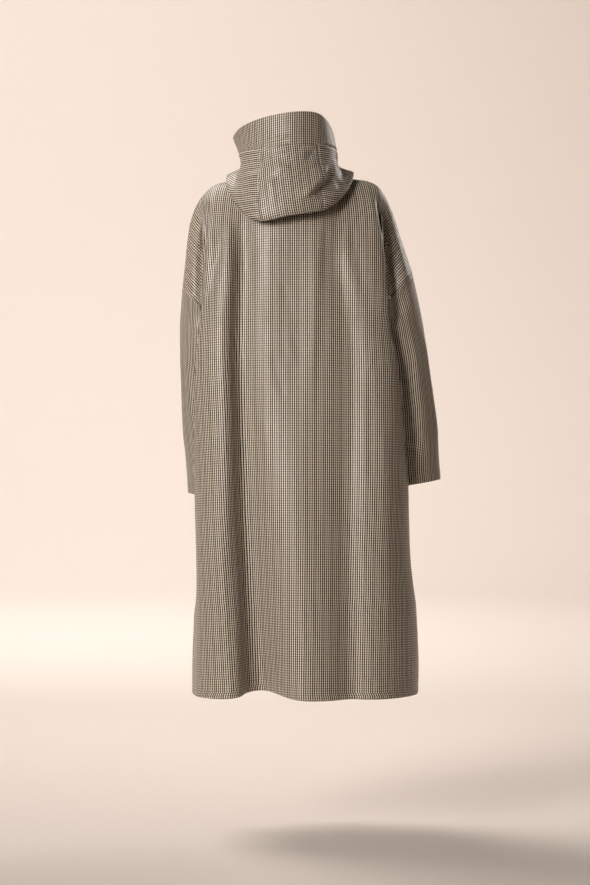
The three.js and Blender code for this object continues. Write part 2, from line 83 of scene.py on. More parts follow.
troughNames = "down at outer inner depth"
backTroughs = [
    # the deep one, left of the middle
    table(
        troughNames,
        (60, 118, 12, 30, 0),
        (200, 114, 15, 40, 8),
        (430, 109, 20, 55, 16),
        (690, 102, 28, 62, 30),
        (930, 84, 36, 62, 50),
        (1142, 66, 42, 52, 74),
    ),
    # the shallow one, right of the middle
    table(
        troughNames,
        (80, -88, 20, 18, 0),
        (380, -136, 30, 46, 9),
        (690, -128, 34, 48, 14),
        (1142, -136, 38, 44, 20),
    ),
]
frontTroughs = [
    table(
        troughNames,
        (120, 112, 22, 26, 0),
        (430, 106, 28, 34, 12),
        (800, 112, 34, 38, 24),
        (1142, 118, 38, 42, 40),
    ),
    table(
        troughNames,
        (140, -104, 22, 26, 0),
        (430, -118, 30, 32, 10),
        (800, -128, 38, 36, 22),
        (1142, -140, 42, 40, 36),
    ),
]

# outline over each shoulder and down the arm, by share of the panel's width
shoulderRows = {
    "left": table(
        "share out down",
        (0.3, 92, -14),
        (0.4, 118, -6),
        (0.5, 150, 1),
        (0.56, 170, 7),
        (0.62, 189, 21),
        (0.7, 209, 46),
        (0.78, 225, 82),
        (0.86, 234, 124),
        (0.93, 239, 178),
        (1, 245, 237),
    ),
    "right": table(
        "share out down",
        (0.3, 92, -14),
        (0.4, 118, -8),
        (0.5, 148, -4),
        (0.56, 168, -1),
        (0.62, 190, 10),
        (0.7, 211, 38),
        (0.78, 229, 80),
        (0.86, 242, 122),
        (0.93, 256, 164),
        (1, 270, 206),
    ),
}
seamTurn = {"left": 0.55, "right": 0}

sleeveNames = "place outer outerDown inner innerDown middle half"
sleeveRows = {
    "left": table(
        sleeveNames,
        (0, 245, 237, 158, 322, -6, 90),
        (0.25, 251, 330, 152, 398, -10, 84),
        (0.5, 248, 440, 147, 490, -18, 80),
        (0.75, 243, 565, 143, 592, -30, 76),
        (1, 234, 697, 140, 708, -40, 72),
    ),
    "right": table(
        sleeveNames,
        (0, 270, 206, 172, 322, -6, 90),
        (0.25, 294, 318, 184, 398, -10, 84),
        (0.5, 313, 440, 196, 484, -18, 79),
        (0.75, 327, 556, 210, 582, -28, 74),
        (1, 335, 666, 224, 684, -38, 69),
    ),
}

neckRows = table(
    "turn out down",
    (0, 72, -14),
    (45, 80, -15),
    (90, 92, -14),
    (130, 93, 6),
    (180, 94, 50),
)

# the standing hood, by the turn in degrees from the middle of the back
hoodRows = table(
    "turn fold foldDown belly bellyDown seam seamDown rim rimDown",
    (-168, 95, 38, 95, 20, 95, 6, 99, -62),
    (-130, 108, -6, 106, -16, 101, -32, 99, -78),
    (-90, 136, -13, 105, -34, 99, -60, 94, -94),
    (-75, 140, 3, 111, -25, 104, -66, 95, -107),
    (-60, 143, 28, 122, -14, 110, -71, 98, -122),
    (-30, 152, 64, 142, 0, 122, -75, 108, -146),
    (0, 160, 77, 150, 4, 128, -77, 110, -145),
    (30, 162, 87, 150, 8, 127, -66, 114, -137),
    (60, 154, 42, 136, -4, 124, -62, 124, -120),
    (75, 150, 11, 121, -24, 121, -61, 129, -107),
    (90, 142, -6, 114, -32, 118, -60, 131, -95),
    (130, 110, -5, 107, -14, 104, -34, 116, -78),
    (168, 95, 38, 95, 20, 95, 6, 99, -62),
)
hood = {"panelTurn": 27, "frontTurn": 168, "neckSeamGap": 0.8, "frontLift": 3, "topstitch": 24}

sideOf = {"left": 1, "right": -1}


def mix(a, b, k):
    return a + (b - a) * k


def clamp(value, low, high):
    return min(high, max(low, value))


def ease(value):
    k = np.clip(value, 0, 1)
    return k * k * (3 - 2 * k)


def softMin(a, b, reach):
    k = clamp(0.5 + 0.5 * (b - a) / reach, 0, 1)
    return mix(b, a, k) - reach * k * (1 - k)


def along(rows, key, column, at):
    # a column of a table as a smooth curve over its key column
    keys, values = rows[key], rows[column]
    last = len(keys) - 1
    if at <= keys[0]:
        return values[0]
    if at >= keys[last]:
        return values[last]
    i = bisect_right(keys, at) - 1

    def slope(j):
        before, after = max(0, j - 1), min(last, j + 1)
        return (values[after] - values[before]) / (keys[after] - keys[before])

    span = keys[i + 1] - keys[i]
    k = (at - keys[i]) / span
    value = mix(values[i], values[i + 1], k * k * (3 - 2 * k))
    return value + k * (1 - k) * ((1 - k) * slope(i) - k * slope(i + 1)) * span


def neckPoint(turn):
    out = along(neckRows, "turn", "out", abs(turn))
    down = along(neckRows, "turn", "down", abs(turn))
    return Vector((out * sin(radians(turn)), out * cos(radians(turn)), -down))


def armLimit(side, down, y):
    # how far out the body may reach beside the hanging sleeve
    rows = sleeveRows[side]
    at = min(down, rows["innerDown"][-1])
    inner = along(rows, "innerDown", "inner", at)
    reach = abs(y - along(rows, "innerDown", "middle", at))
    nearSleeve = max(ease((down - coat["underarmDown"]) / 70), ease((reach - 15) / 50))
    gap = coat["armClearance"] * nearSleeve
    half = along(rows, "innerDown", "half", at) + gap
    flank = half * 0.9  # past this the sleeve's side falls away and the body may swing out
    share = min(reach, flank) / half
    bulge = 50 * (1 - sqrt(1 - share * share)) + 1.6 * max(0, reach - flank)
    return inner - gap + bulge


sectionSteps = 90
sections = {}


def section(side, face, down):
    # a quarter of the body's section, from its middle to the side seam: x, y and length so far
    name = (side, face, round(down, 3))
    if name in sections:
        return sections[name]
    width = along(torsoRows, "down", side, down)
    depth = along(torsoRows, "down", face, down) * (1 if face == "back" else -1)
    power = 2 / along(torsoRows, "down", "square", down)
    belowCuff = ease((down - sleeveRows[side]["innerDown"][-1] - 5) / 260)
    seamY = coat["sideSeamY"]
    points = []
    for i in range(sectionSteps + 1):
        angle = i / sectionSteps * pi / 2
        y = seamY + (depth - seamY) * max(0, cos(angle)) ** power
        free = width * sin(angle) ** power
        x = mix(softMin(free, armLimit(side, down, y), 22), free, belowCuff)
        points.append((0 if i == 0 else x, seamY if i == sectionSteps else y))
    points = np.array(points)
    steps = np.hypot(*np.diff(points, axis=0).T)
    sections[name] = points[:, 0], points[:, 1], np.concatenate(([0], np.cumsum(steps)))
    return sections[name]


def trough(rowsList, x, down):
    depth = 0
    for rows in rowsList:
        at = along(rows, "down", "at", down)
        reach = along(rows, "down", "outer" if (x > at) == (at > 0) else "inner", down)
        depth += along(rows, "down", "depth", down) * exp(-(((x - at) / reach) ** 2))
    return depth


def torsoPoint(side, face, share, down):
    xs, ys, lengths = section(side, face, down)
    want = clamp(share, 0, 1) * lengths[-1]
    x, y = np.interp(want, lengths, xs), np.interp(want, lengths, ys)
    return Vector((x * sideOf[side], y, -down))


def arch(top, bottom, rise):
    # leaves the top level and arrives at the bottom hanging straight down
    angle = rise * pi / 2
    back, fall = sin(angle) ** 1.2, 1 - cos(angle)
    return Vector((mix(top.x, bottom.x, rise), mix(top.y, bottom.y, back), mix(top.z, bottom.z, fall)))


def yokePoint(side, face, share, rise):
    sign = sideOf[side]
    under = torsoPoint(side, face, share, coat["underarmDown"])
    rows = shoulderRows[side]
    neckShare = rows["share"][0]
    if share < neckShare:
        turn = 90 * share / neckShare if face == "back" else 180 - 90 * share / neckShare
        return arch(neckPoint(turn * sign), under, rise)
    out, down = (along(rows, "share", column, share) for column in ("out", "down"))
    ridge = Vector((out * sign, 0, -down))
    body = arch(ridge, under, rise)
    onArm = ease((share - 0.52) / 0.48)
    if onArm == 0:
        return body
    armpit = torsoPoint(side, face, 1, coat["underarmDown"])
    inner = Vector((mix(ridge.x - 60 * sign, armpit.x, share), armpit.y, -coat["underarmDown"]))
    turn = mix(seamTurn[side] * onArm, pi if face == "back" else -pi, rise)
    arm = ridge.lerp(inner, (1 - cos(turn)) / 2)
    arm.y = mix(ridge.y, armpit.y, (1 - cos(turn)) / 2) + sleeveRows[side]["half"][0] * sin(turn)
    arm += (under - inner) * rise**4
    return body.lerp(arm, onArm)


def armCrease(share, rise):
    across = exp(-(((share - 0.71) / 0.045) ** 2))
    return 18 * across * ease((rise - 0.25) / 0.3) * (1 - ease((rise - 0.62) / 0.25))


def ventShare(down):
    opened = coat["ventGap"] * ease((down - coat["ventTopDown"]) / 90)
    over = clamp((down - coat["hemDown"] + coat["cornerRadius"]) / coat["cornerRadius"], 0, 1)
    return (opened + coat["cornerRadius"] * (1 - sqrt(1 - over * over))) / 400


def bodyPoint(face, place, level):
    # place -1 is the right side seam and 1 the left one; level 0 is the neck and shoulder seam,
    # 1 the underarm and 2 the hem. Past a seam it goes on along the next piece.
    side = "right" if place < 0 else "left"
    otherFace = "front" if face == "back" else "back"
    share = abs(place)
    if level < 0:
        onNeck = share < shoulderRows[side]["share"][0]
        return bodyPoint(face, place, 0) if onNeck else bodyPoint(otherFace, place, -level)
    down = mix(coat["underarmDown"], coat["hemDown"], max(0, level - 1))
    if share > 1:
        if level < 1:
            return sleevePoint(side, share - 1, armTurn(side, face, level))
        if down > coat["ventTopDown"]:
            return bodyPoint(face, sideOf[side], level)
        return bodyPoint(otherFace, sideOf[side] * (2 - share), level)
    facing = 1 if face == "back" else -1
    if level < 1:
        point = yokePoint(side, face, share, level)
        point.y -= facing * armCrease(share, level)
    else:
        point = torsoPoint(side, face, share * (1 - ventShare(down)), down)
    onBody = 1 - ease((share - 0.55) / 0.15)
    if onBody > 0:
        troughs = backTroughs if face == "back" else frontTroughs
        point.y -= facing * onBody * trough(troughs, point.x, -point.z)
    if face == "back" and down > hemRise["startDown"]:
        across = exp(-(((point.x - hemRise["at"]) / hemRise["reach"]) ** 2))
        low = ease((down - hemRise["startDown"]) / (coat["hemDown"] - hemRise["startDown"]))
        point.z += hemRise["height"] * across * low
    return point


def armTurn(side, face, level):
    return mix(seamTurn[side], pi if face == "back" else -pi, level)


def sleevePoint(side, place, turn):
    # turn 0 is the sleeve's outer edge and pi its underarm
    around = turn - 2 * pi if turn > pi else turn
    if place < 0:
        start = seamTurn[side]
        behind = around >= start
        face = "back" if behind else "front"
        level = (around - start) / (pi - start) if behind else (start - around) / (pi + start)
        return bodyPoint(face, sideOf[side] * (1 + place), min(0.999, level))
    rows = sleeveRows[side]
    armpit = torsoPoint(side, "back", 1, coat["underarmDown"])
    free = ease(place * 4)
    read = {name: along(rows, "place", name, place) for name in rows}
    innerX = read["inner"] + (abs(armpit.x) - rows["inner"][0]) * (1 - free) + 0.6
    outer = Vector((read["outer"], mix(0, read["middle"], free), -read["outerDown"]))
    inner = Vector((innerX, mix(coat["sideSeamY"], read["middle"], free), -read["innerDown"]))
    point = outer.lerp(inner, (1 - cos(around)) / 2)
    point.y += read["half"] * sin(around)
    point.x *= sideOf[side]
    return point


def hoodPoint(place, at):
    # at 0 is the neck seam, 2 the underside of the lowest fold, 5 the brim's seam and 6 the rim.
    # The middle panel's left seam leans: it starts further left at the brim than at the fold.
    lean = mix(-4, 6, clamp((at - 2) / 3, 0, 1))
    turn = place + lean * float(ease(1 - abs(place - hood["panelTurn"]) / 45))
    read = {name: along(hoodRows, "turn", name, turn) for name in hoodRows}
    neckOut = along(neckRows, "turn", "out", abs(turn))
    lift = hood["neckSeamGap"] + hood["frontLift"] * ease((abs(turn) - 115) / 35)
    neckDown = along(neckRows, "turn", "down", abs(turn)) - lift
    fold, foldDown = read["fold"], read["foldDown"]
    roll = 10 * clamp((fold - neckOut) / 50, 0.05, 1)
    rows = table(
        "at out down",
        (0, neckOut, neckDown),
        (1, mix(neckOut, fold, 0.5), mix(neckDown, foldDown, 0.2) - 0.25 * roll),
        (2, fold - roll, foldDown),
        (3, fold, foldDown - roll),
        (4, read["belly"], read["bellyDown"]),
        (5, read["seam"], read["seamDown"]),
        (6, read["rim"], read["rimDown"]),
    )
    out, down = along(rows, "at", "out", at), along(rows, "at", "down", at)
    return Vector((out * sin(radians(turn)), out * cos(radians(turn)), -down))


# Creases laid over the form. "path" is across and down in millimetres in the named view,
# with its points running down, "rise" the height of a ridge, or below zero the depth of a trough,
# "wide" its reach to the coat's left and to its right, "fade" the share of it in each soft end.
def distanceTo(path, across, down):
    # distance to a path, the side of it that a point lies on, and how far along it the point is
    best = np.full(across.shape, 1e9)
    side = np.zeros(across.shape)
    share = np.zeros(across.shape)
    lengths = [hypot(b[0] - a[0], b[1] - a[1]) for a, b in zip(path, path[1:])]
    before = 0
    for (a, b), length in zip(zip(path, path[1:]), lengths):
        dx, dy = (b[0] - a[0]) / length, (b[1] - a[1]) / length
        t = np.clip((across - a[0]) * dx + (down - a[1]) * dy, 0, length)
        offX, offY = across - a[0] - t * dx, down - a[1] - t * dy
        away = np.hypot(offX, offY)
        closer = away < best
        best = np.where(closer, away, best)
        side = np.where(closer, np.sign(offX * dy - offY * dx), side)
        share = np.where(closer, (before + t) / sum(lengths), share)
        before += length
    return best, side, share


def smoothPath(points, steps=6):
    # rounds a given path off with a Catmull-Rom curve
    ends = [points[0]] + list(points) + [points[-1]]
    path = []
    for a, b, c, d in zip(ends, ends[1:], ends[2:], ends[3:]):
        for i in range(steps):
            k = i / steps
            path.append(tuple(
                0.5 * (2 * q + (r - p) * k + (2 * p - 5 * q + 4 * r - s) * k * k
                       + (3 * q - p - 3 * r + s) * k**3)
                for p, q, r, s in zip(a, b, c, d)
            ))
    return path + [tuple(points[-1])]


def creaseHeight(creases, across, down):
    height = np.zeros(across.shape)
    for one in creases:
        away, side, share = distanceTo(smoothPath(one["path"]), across, down)
        left, right = one["wide"]
        start, end = one["fade"]
        held = ease(share / start) * ease((1 - share) / end)
        height += one["rise"] * held * np.exp(-((away / np.where(side > 0, left, right)) ** 2))
    return height


def crease(rise, wide, *path, fade=(0.25, 0.25)):
    return {"rise": rise, "wide": wide, "path": path, "fade": fade}


bodyCreases = {
    "back": [
        # ridge and trough that make the sharp fold left of the middle
        crease(8, (44, 13), (137, 60), (139, 137), (141, 215), (148, 298), (150, 376), (147, 481),
               (146, 603),
               (146, 725), (150, 943), (152, 1140), fade=(0.08, 0.3)),
        crease(-13, (16, 30), (110, 66), (109, 137), (108, 215), (113, 298), (116, 376), (111, 481),
               (105, 603),
               (101, 725), (95, 900), (88, 1180), fade=(0.1, 0.02)),
        # narrow crease under the hood, right of the middle, and the flank that it runs into
        crease(4.5, (26, 6), (-66, 80), (-60, 160), (-56, 246), (-50, 370), (-44, 486),
               (-42, 610), fade=(0.1, 0.5)),
        crease(5.5, (46, 40), (-12, 420), (-14, 600), (-16, 800), (-22, 1000), (-26, 1180),
               fade=(0.4, 0.02)),
        crease(-6.5, (32, 18), (-78, 92), (-94, 180), (-112, 267), (-127, 379), (-127, 529),
               (-123, 725), (-127, 943),
               (-131, 1180), fade=(0.1, 0.02)),
        crease(-3, (9, 11), (-130, 97), (-146, 190), (-163, 291), fade=(0.2, 0.4)),
        # across the left shoulder blade
        crease(-5, (8, 13), (149, 86), (161, 160), (173, 213), (182, 267), (187, 345), fade=(0.2, 0.4)),
        crease(3.5, (12, 10), (172, 90), (181, 150), (190, 220), (196, 300), fade=(0.3, 0.4)),
        # between the back and each arm
        crease(-8, (16, 7), (186, 40), (190, 69), (193, 110), (195, 152), (197, 190), (199, 235),
               (203, 300), (205, 340),
               fade=(0.15, 0.15)),
        crease(6, (30, 6), (-178, 20), (-186, 69), (-197, 134), (-204, 189), (-212, 254),
               (-218, 320), fade=(0.2, 0.12)),
        crease(-17, (8, 20), (-190, 20), (-199, 69), (-210, 134), (-219, 189), (-227, 254), (-233, 330),
               fade=(0.2, 0.16)),
        crease(1.2, (12, 9), (-226, 80), (-240, 150), (-252, 220), (-262, 290), fade=(0.3, 0.4)),
        # short wrinkles where the back panel is slack
        crease(-2, (5, 8), (18, 225), (12, 262), (4, 300)),
        crease(2, (8, 5), (8, 330), (2, 372), (-8, 408)),
        crease(-2.2, (7, 6), (42, 380), (30, 430), (16, 486)),
        crease(2, (7, 7), (60, 520), (52, 590), (50, 660)),
        crease(-2.5, (12, 10), (-170, 420), (-176, 560), (-178, 700)),
        crease(3.5, (18, 16), (-196, 480), (-202, 640), (-206, 860), (-210, 1060)),
        crease(12, (14, 40), (200, 600), (204, 800), (208, 1000), (210, 1180), fade=(0.5, 0.02)),
        # sleeves, as far as they show from behind
        crease(6, (16, 14), (-262, 320), (-281, 430), (-292, 531), (-302, 640)),
        crease(-7, (12, 14), (-236, 380), (-250, 470), (-262, 560), (-268, 640)),
        crease(-4, (7, 9), (-262, 214), (-252, 250), (-238, 292)),
        crease(4, (10, 8), (236, 330), (232, 440), (226, 560)),
    ],
    "front": [
        crease(7, (12, 40), (146, 90), (150, 220), (152, 380), (150, 560), (156, 800),
               (160, 1180), fade=(0.15, 0.02)),
        crease(-8, (26, 12), (118, 120), (114, 260), (108, 430), (112, 620), (116, 860),
               fade=(0.15, 0.3)),
        crease(5, (24, 18), (62, 300), (60, 520), (56, 760), (52, 1180), fade=(0.4, 0.02)),
        crease(-6, (18, 28), (-96, 110), (-108, 260), (-120, 430), (-126, 640), (-130, 900),
               fade=(0.15, 0.3)),
        crease(6, (34, 16), (-150, 160), (-158, 360), (-164, 620), (-172, 900), (-178, 1180),
               fade=(0.2, 0.02)),
        crease(4, (20, 22), (-66, 420), (-70, 640), (-74, 900), (-80, 1180), fade=(0.4, 0.02)),
        crease(-13, (14, 10), (182, 40), (190, 110), (197, 190), (203, 260), (204, 335),
               fade=(0.25, 0.14)),
        crease(-14, (11, 18), (-186, 40), (-198, 110), (-212, 190), (-224, 260), (-232, 330),
               fade=(0.25, 0.16)),
        crease(-3, (9, 9), (-140, 70), (-158, 130), (-170, 200)),
        crease(-3, (8, 9), (134, 60), (150, 130), (160, 210)),
        # inside of each elbow
        crease(-6, (12, 12), (190, 420), (206, 452), (226, 470), (244, 470)),
        crease(4.5, (12, 12), (186, 462), (206, 496), (228, 512)),
        crease(-5, (10, 12), (-232, 408), (-252, 446), (-276, 462), (-300, 458)),
        crease(4.5, (12, 12), (-234, 450), (-256, 490), (-284, 500)),
        crease(-4, (9, 9), (-250, 540), (-270, 566), (-296, 574)),
    ],
    "left": [
        crease(-5, (12, 14), (-52, 300), (-30, 380), (-20, 460), (-30, 540)),
        crease(5, (14, 14), (26, 330), (22, 430), (6, 540), (-6, 640)),
        crease(-4, (10, 14), (-70, 470), (-40, 500), (-6, 510)),
        crease(-4, (20, 16), (-40, 760), (-44, 900)),
    ],
    "right": [
        crease(-6, (14, 12), (-46, 280), (-26, 360), (-22, 450), (-34, 540)),
        crease(5, (14, 16), (30, 300), (24, 420), (6, 530), (-8, 620)),
        crease(-4, (10, 14), (-66, 452), (-38, 486), (-4, 496)),
        crease(-5, (16, 18), (-34, 740), (-40, 880)),
    ],
}
hoodCreases = {
    "back": [
        # where the standing hood turns away from the light
        crease(5, (36, 26), (-8, -150), (-9, -106), (-12, -62), fade=(0.02, 0.5)),
        # the pinched fold that runs down from the right panel across the middle one
        crease(7, (17, 7), (-78, -40), (-66, -4), (-48, 20), (-26, 40), (-8, 54), fade=(0.3, 0.35)),
        crease(-6, (6, 15), (-90, -34), (-80, 0), (-62, 26), (-40, 44), fade=(0.3, 0.35)),
        crease(2.4, (4, 4), (-22, 46), (-40, 31), (-51, 15)),
        crease(2.6, (4, 4), (-13, -55), (-6, -45), (-1, -39)),
        # puckers along the stitched seam of the brim
        crease(2.4, (4, 4), (67, -62), (31, -69), (4, -76)),
        crease(-1.8, (4, 4), (65, -69), (26, -79), (2, -84)),
        crease(2.2, (4, 4), (66, -77), (22, -89), (-2, -92)),
        crease(1.8, (4, 4), (40, -50), (10, -56), (-24, -60)),
        crease(2, (7, 7), (50, -12), (30, -17), (12, -22)),
        crease(2.6, (6, 6), (64, 20), (48, 12), (31, 3)),
        crease(-3.4, (4.5, 5), (-50, -68), (-42, -52), (-35, -36)),
        crease(2.4, (5, 4), (-28, -62), (-22, -48), (-20, -30)),
        # slack in the belly of the hood
        crease(-3.5, (6, 8), (64, -46), (74, -30), (98, -16)),
        crease(3, (8, 6), (34, -30), (20, -22), (2, -20)),
        crease(-3, (7, 6), (-94, -10), (-104, 10), (-110, 28)),
        crease(2.5, (6, 7), (-96, -50), (-100, -30), (-104, -12)),
        crease(-3, (8, 8), (92, 0), (80, 24), (72, 52)),
        crease(2.4, (9, 8), (46, 0), (44, 30), (40, 66)),
    ],
    "front": [
        crease(-3, (8, 8), (60, -50), (52, -20), (50, 6)),
        crease(-3, (8, 8), (-58, -46), (-54, -16), (-52, 8)),
    ],
    "left": [
        crease(-3, (7, 8), (60, -60), (40, -38), (24, -30)),
        crease(2.6, (8, 8), (-20, -70), (-24, -44), (-20, -24)),
    ],
    "right": [
        crease(-3, (7, 8), (56, -58), (36, -38), (16, -32)),
        crease(2.8, (8, 8), (-16, -66), (-22, -42), (-24, -22)),
    ],
}


# each view's axis towards the eye, its sign, and the axis that runs across the view
viewAxes = {"back": (1, 1, 0), "front": (1, -1, 0), "left": (0, 1, 1), "right": (0, -1, 1)}


def viewWeight(view, normals):
    axis, sign, _ = viewAxes[view]
    return ease((sign * normals[..., axis] - 0.15) / 0.5)


def unit(vectors):
    return vectors / np.maximum(np.linalg.norm(vectors, axis=-1, keepdims=True), 1e-9)


def gridNormals(points):
    return unit(np.cross(np.gradient(points, axis=1), np.gradient(points, axis=0)))


def lengthsAlong(points, axis):
    steps = np.linalg.norm(np.diff(points, axis=axis), axis=2)
    start = np.zeros_like(steps[:1] if axis == 0 else steps[:, :1])
    return np.cumsum(np.concatenate((start, steps), axis=axis), axis=axis)


pressing = {
    "lines": 34,  # coarse rows and columns that are pressed flat
    "rounds": 1500,
    "push": 0.32,  # share of each round's push that is taken
}


def flatten(points):
    # The flat cut that a hanging panel was laid out on: the grid is pressed flat and each of its
    # threads and both of its diagonals are eased back to the length that they have on the coat.
    crossesMiddle = points[0, 0, 0] * points[0, -1, 0] < 0
    middle = int(np.argmin(np.abs(points[0, :, 0]))) if crossesMiddle else 0
    across, down = lengthsAlong(points, 1), lengthsAlong(points, 0)
    flat = np.stack((across - across[:, middle:middle + 1], down - down[-1:]), axis=2)
    rowCount, columnCount = points.shape[:2]
    links = []
    for rowStep, columnStep in ((0, 1), (1, 0), (1, 1), (1, -1)):
        right, left = max(0, columnStep), max(0, -columnStep)
        first = np.s_[: rowCount - rowStep, left: columnCount - right]
        second = np.s_[rowStep:, right: columnCount - left]
        links.append((first, second, np.linalg.norm(points[second] - points[first], axis=2)))
    for _ in range(pressing["rounds"]):
        push = np.zeros_like(flat)
        for first, second, length in links:
            step = flat[second] - flat[first]
            now = np.maximum(np.linalg.norm(step, axis=2), 1e-6)
            pull = step * (0.5 * (1 - length / now))[..., None]
            push[first] += pull
            push[second] -= pull
        flat += push * pressing["push"]
        flat[:, middle, 0] = 0
    return flat


def stretchGrid(coarse, coarseRows, coarseColumns, rows, columns):
    # reads a coarse grid at the fine grid's rows and columns
    byRow = np.array([[np.interp(rows, coarseRows, coarse[:, j, k]) for k in range(2)]
                      for j in range(coarse.shape[1])])
    return np.array([[np.interp(columns, coarseColumns, byRow[:, k, i]) for k in range(2)]
                     for i in range(len(rows))]).transpose(0, 2, 1)


def surfaceGrid(surface, rows, columns):
    # the surface at each row and column, with one more of each past every edge for the normals
    rowStep, columnStep = (rows[-1] - rows[0]) * 0.004, (columns[-1] - columns[0]) * 0.004
    moreRows = [rows[0] - rowStep, *rows, rows[-1] + rowStep]
    moreColumns = [columns[0] - columnStep, *columns, columns[-1] + columnStep]
    return np.array([[surface(row, column)[:] for column in moreColumns] for row in moreRows])


sewing = {
    "seamDip": 1.1, "seamDipReach": 2.2,  # a seam pulls the cloth in, and it swells beside it
    "seamSwell": 0.45, "seamSwellAt": 6, "seamSwellReach": 4,
    "hemThick": 0.7, "hemRamp": 2.5,  # a turned hem stands proud as far as its stitches
    "hemDip": 0.9, "hemDipIn": 2,
    "stitchDip": 0.8, "stitchReach": 1.7,
}


def bell(away, reach):
    return np.exp(-((away / reach) ** 2))


def edgeForm(piece, points, fromEdge):
    # the height that seams, turned hems and stitch lines give the cloth near its edges
    height = np.zeros(points.shape[:2])
    for edge, kind in piece["edges"].items():
        away = fromEdge[edge]
        vent = ease((-points[..., 2] - coat["ventTopDown"]) / 12) if kind == "sideSeam" else 0
        if kind in ("seam", "sideSeam"):
            dip = -sewing["seamDip"] * bell(away, sewing["seamDipReach"])
            swell = sewing["seamSwell"] * bell(away - sewing["seamSwellAt"], sewing["seamSwellReach"])
            height += (dip + swell) * (1 - vent)
        if kind not in ("seam", "open"):
            width = {"hem": coat["hemWidth"], "cuff": coat["cuffHem"]}.get(kind, coat["ventHem"])
            thick = sewing["hemThick"] * (1 - ease((away - width) / sewing["hemRamp"]))
            sewn = -sewing["hemDip"] * bell(away - width + sewing["hemDipIn"], sewing["stitchReach"])
            height += (thick + sewn) * (vent if kind == "sideSeam" else 1)
        for stitch in piece.get("topstitch", {}).get(edge, ()):
            height -= sewing["stitchDip"] * bell(away - stitch, sewing["stitchReach"])
    return height


def addObject(name, data):
    item = bpy.data.objects.new(name, data)
    bpy.context.scene.collection.objects.link(item)
    return item


def makeMesh(name, vertices, faces, materials, materialOf=None, uvs=None, edge=None):
    mesh = bpy.data.meshes.new(name)
    mesh.from_pydata([tuple(v) for v in np.asarray(vertices) * mm], [], faces)
    for material in materials:
        mesh.materials.append(material)
    if materialOf is not None:
        mesh.polygons.foreach_set("material_index", materialOf)
    if uvs is not None:
        layer = mesh.uv_layers.new(name="cloth")
        loops = np.zeros(len(mesh.loops), dtype=np.int32)
        mesh.loops.foreach_get("vertex_index", loops)
        layer.data.foreach_set("uv", (np.asarray(uvs) * mm)[loops].ravel())
    if edge is not None:
        mesh.attributes.new("edge", "FLOAT", "POINT").data.foreach_set("value", edge)
    mesh.shade_smooth()
    item = addObject(name, mesh)
    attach(item, "root")
    return item


def clothShell(name, outer, normals, flat, wear):
    # a thin shell through a grid: its face, its back, and a rounded edge all the way round
    wall = coat["wall"]
    rowCount, columnCount = outer.shape[:2]
    inner = outer - normals * wall
    count = rowCount * columnCount
    index = np.arange(count).reshape(rowCount, columnCount)
    a, b, c, d = index[:-1, :-1], index[:-1, 1:], index[1:, 1:], index[1:, :-1]
    face = np.stack((a, b, c, d), axis=2).reshape(-1, 4)
    back = np.stack((a, d, c, b), axis=2).reshape(-1, 4) + count
    ring = np.concatenate((index[0, :-1], index[:-1, -1], index[-1, :0:-1], index[:0:-1, 0]))
    inward = np.concatenate((index[1, :-1], index[:-1, -2], index[-2, :0:-1], index[:0:-1, 1]))
    outerFlat, innerFlat = outer.reshape(-1, 3), inner.reshape(-1, 3)
    beyond = unit(outerFlat[ring] - outerFlat[inward])
    edge = (outerFlat[ring] + innerFlat[ring]) / 2 + beyond * wall * 0.35  # rounds the raw edge
    middle = np.arange(len(ring)) + 2 * count
    following = np.roll(ring, -1)
    nextMiddle = np.roll(middle, -1)
    rim = np.concatenate((
        np.stack((following, ring, middle, nextMiddle), axis=1),
        np.stack((nextMiddle, middle, ring + count, following + count), axis=1),
    ))
    faces = np.concatenate((face, back, rim))
    materialOf = np.repeat((0, 1, 0), (len(face), len(back), len(rim))).astype(np.int32)
    flatUv = flat.reshape(-1, 2)
    uvs = np.concatenate((flatUv, flatUv, flatUv[ring]))
    vertices = np.concatenate((outerFlat, innerFlat, edge))
    worn = np.concatenate((wear.ravel(), wear.ravel() * 0.5, np.maximum(wear.ravel()[ring], 0.2)))
    return makeMesh(name, vertices, faces.tolist(), clothMaterials, materialOf, uvs, worn)


def clothPiece(piece):
    rows, columns = piece["rows"], piece["columns"]
    grid = surfaceGrid(piece["surface"], rows, columns)
    normals = gridNormals(grid)
    base = grid[1:-1, 1:-1]
    down, across = lengthsAlong(base, 0), lengthsAlong(base, 1)
    fromEdge = {
        "top": down, "bottom": down[-1:] - down,
        "start": across, "end": across[:, -1:] - across,
    }
    lift = np.zeros(grid.shape[:2])
    for view, creases in piece["creases"].items():
        height = creaseHeight(creases, grid[..., viewAxes[view][2]], -grid[..., 2])
        lift += viewWeight(view, normals) * height
    lift += piece["ripple"] * slackNoise(grid)
    lift[1:-1, 1:-1] += edgeForm(piece, base, fromEdge)
    lift[0], lift[-1] = lift[1], lift[-2]
    lift[:, 0], lift[:, -1] = lift[:, 1], lift[:, -2]
    grid += normals * lift[..., None]
    normals = gridNormals(grid)[1:-1, 1:-1]
    outer = grid[1:-1, 1:-1]
    flat = piece["flat"](base, rows, columns)
    # rubbed paler along what is folded or hemmed
    wear = np.zeros(base.shape[:2])
    for edge, kind in piece["edges"].items():
        if kind not in ("seam", "sideSeam"):
            wear = np.maximum(wear, np.exp(-fromEdge[edge] / 3))
    made = clothShell(piece["name"], outer, normals, flat, wear)
    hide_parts(*piece["nodes"])
    return made, outer, normals, flat


def slackNoise(grid):
    # long soft unevenness, drawn out down the cloth, which no listed crease covers
    flatPoints = grid.reshape(-1, 3)
    values = [noise.noise(Vector((x / 62, y / 62, z / 320))) for x, y, z in flatPoints]
    return np.array(values).reshape(grid.shape[:2])


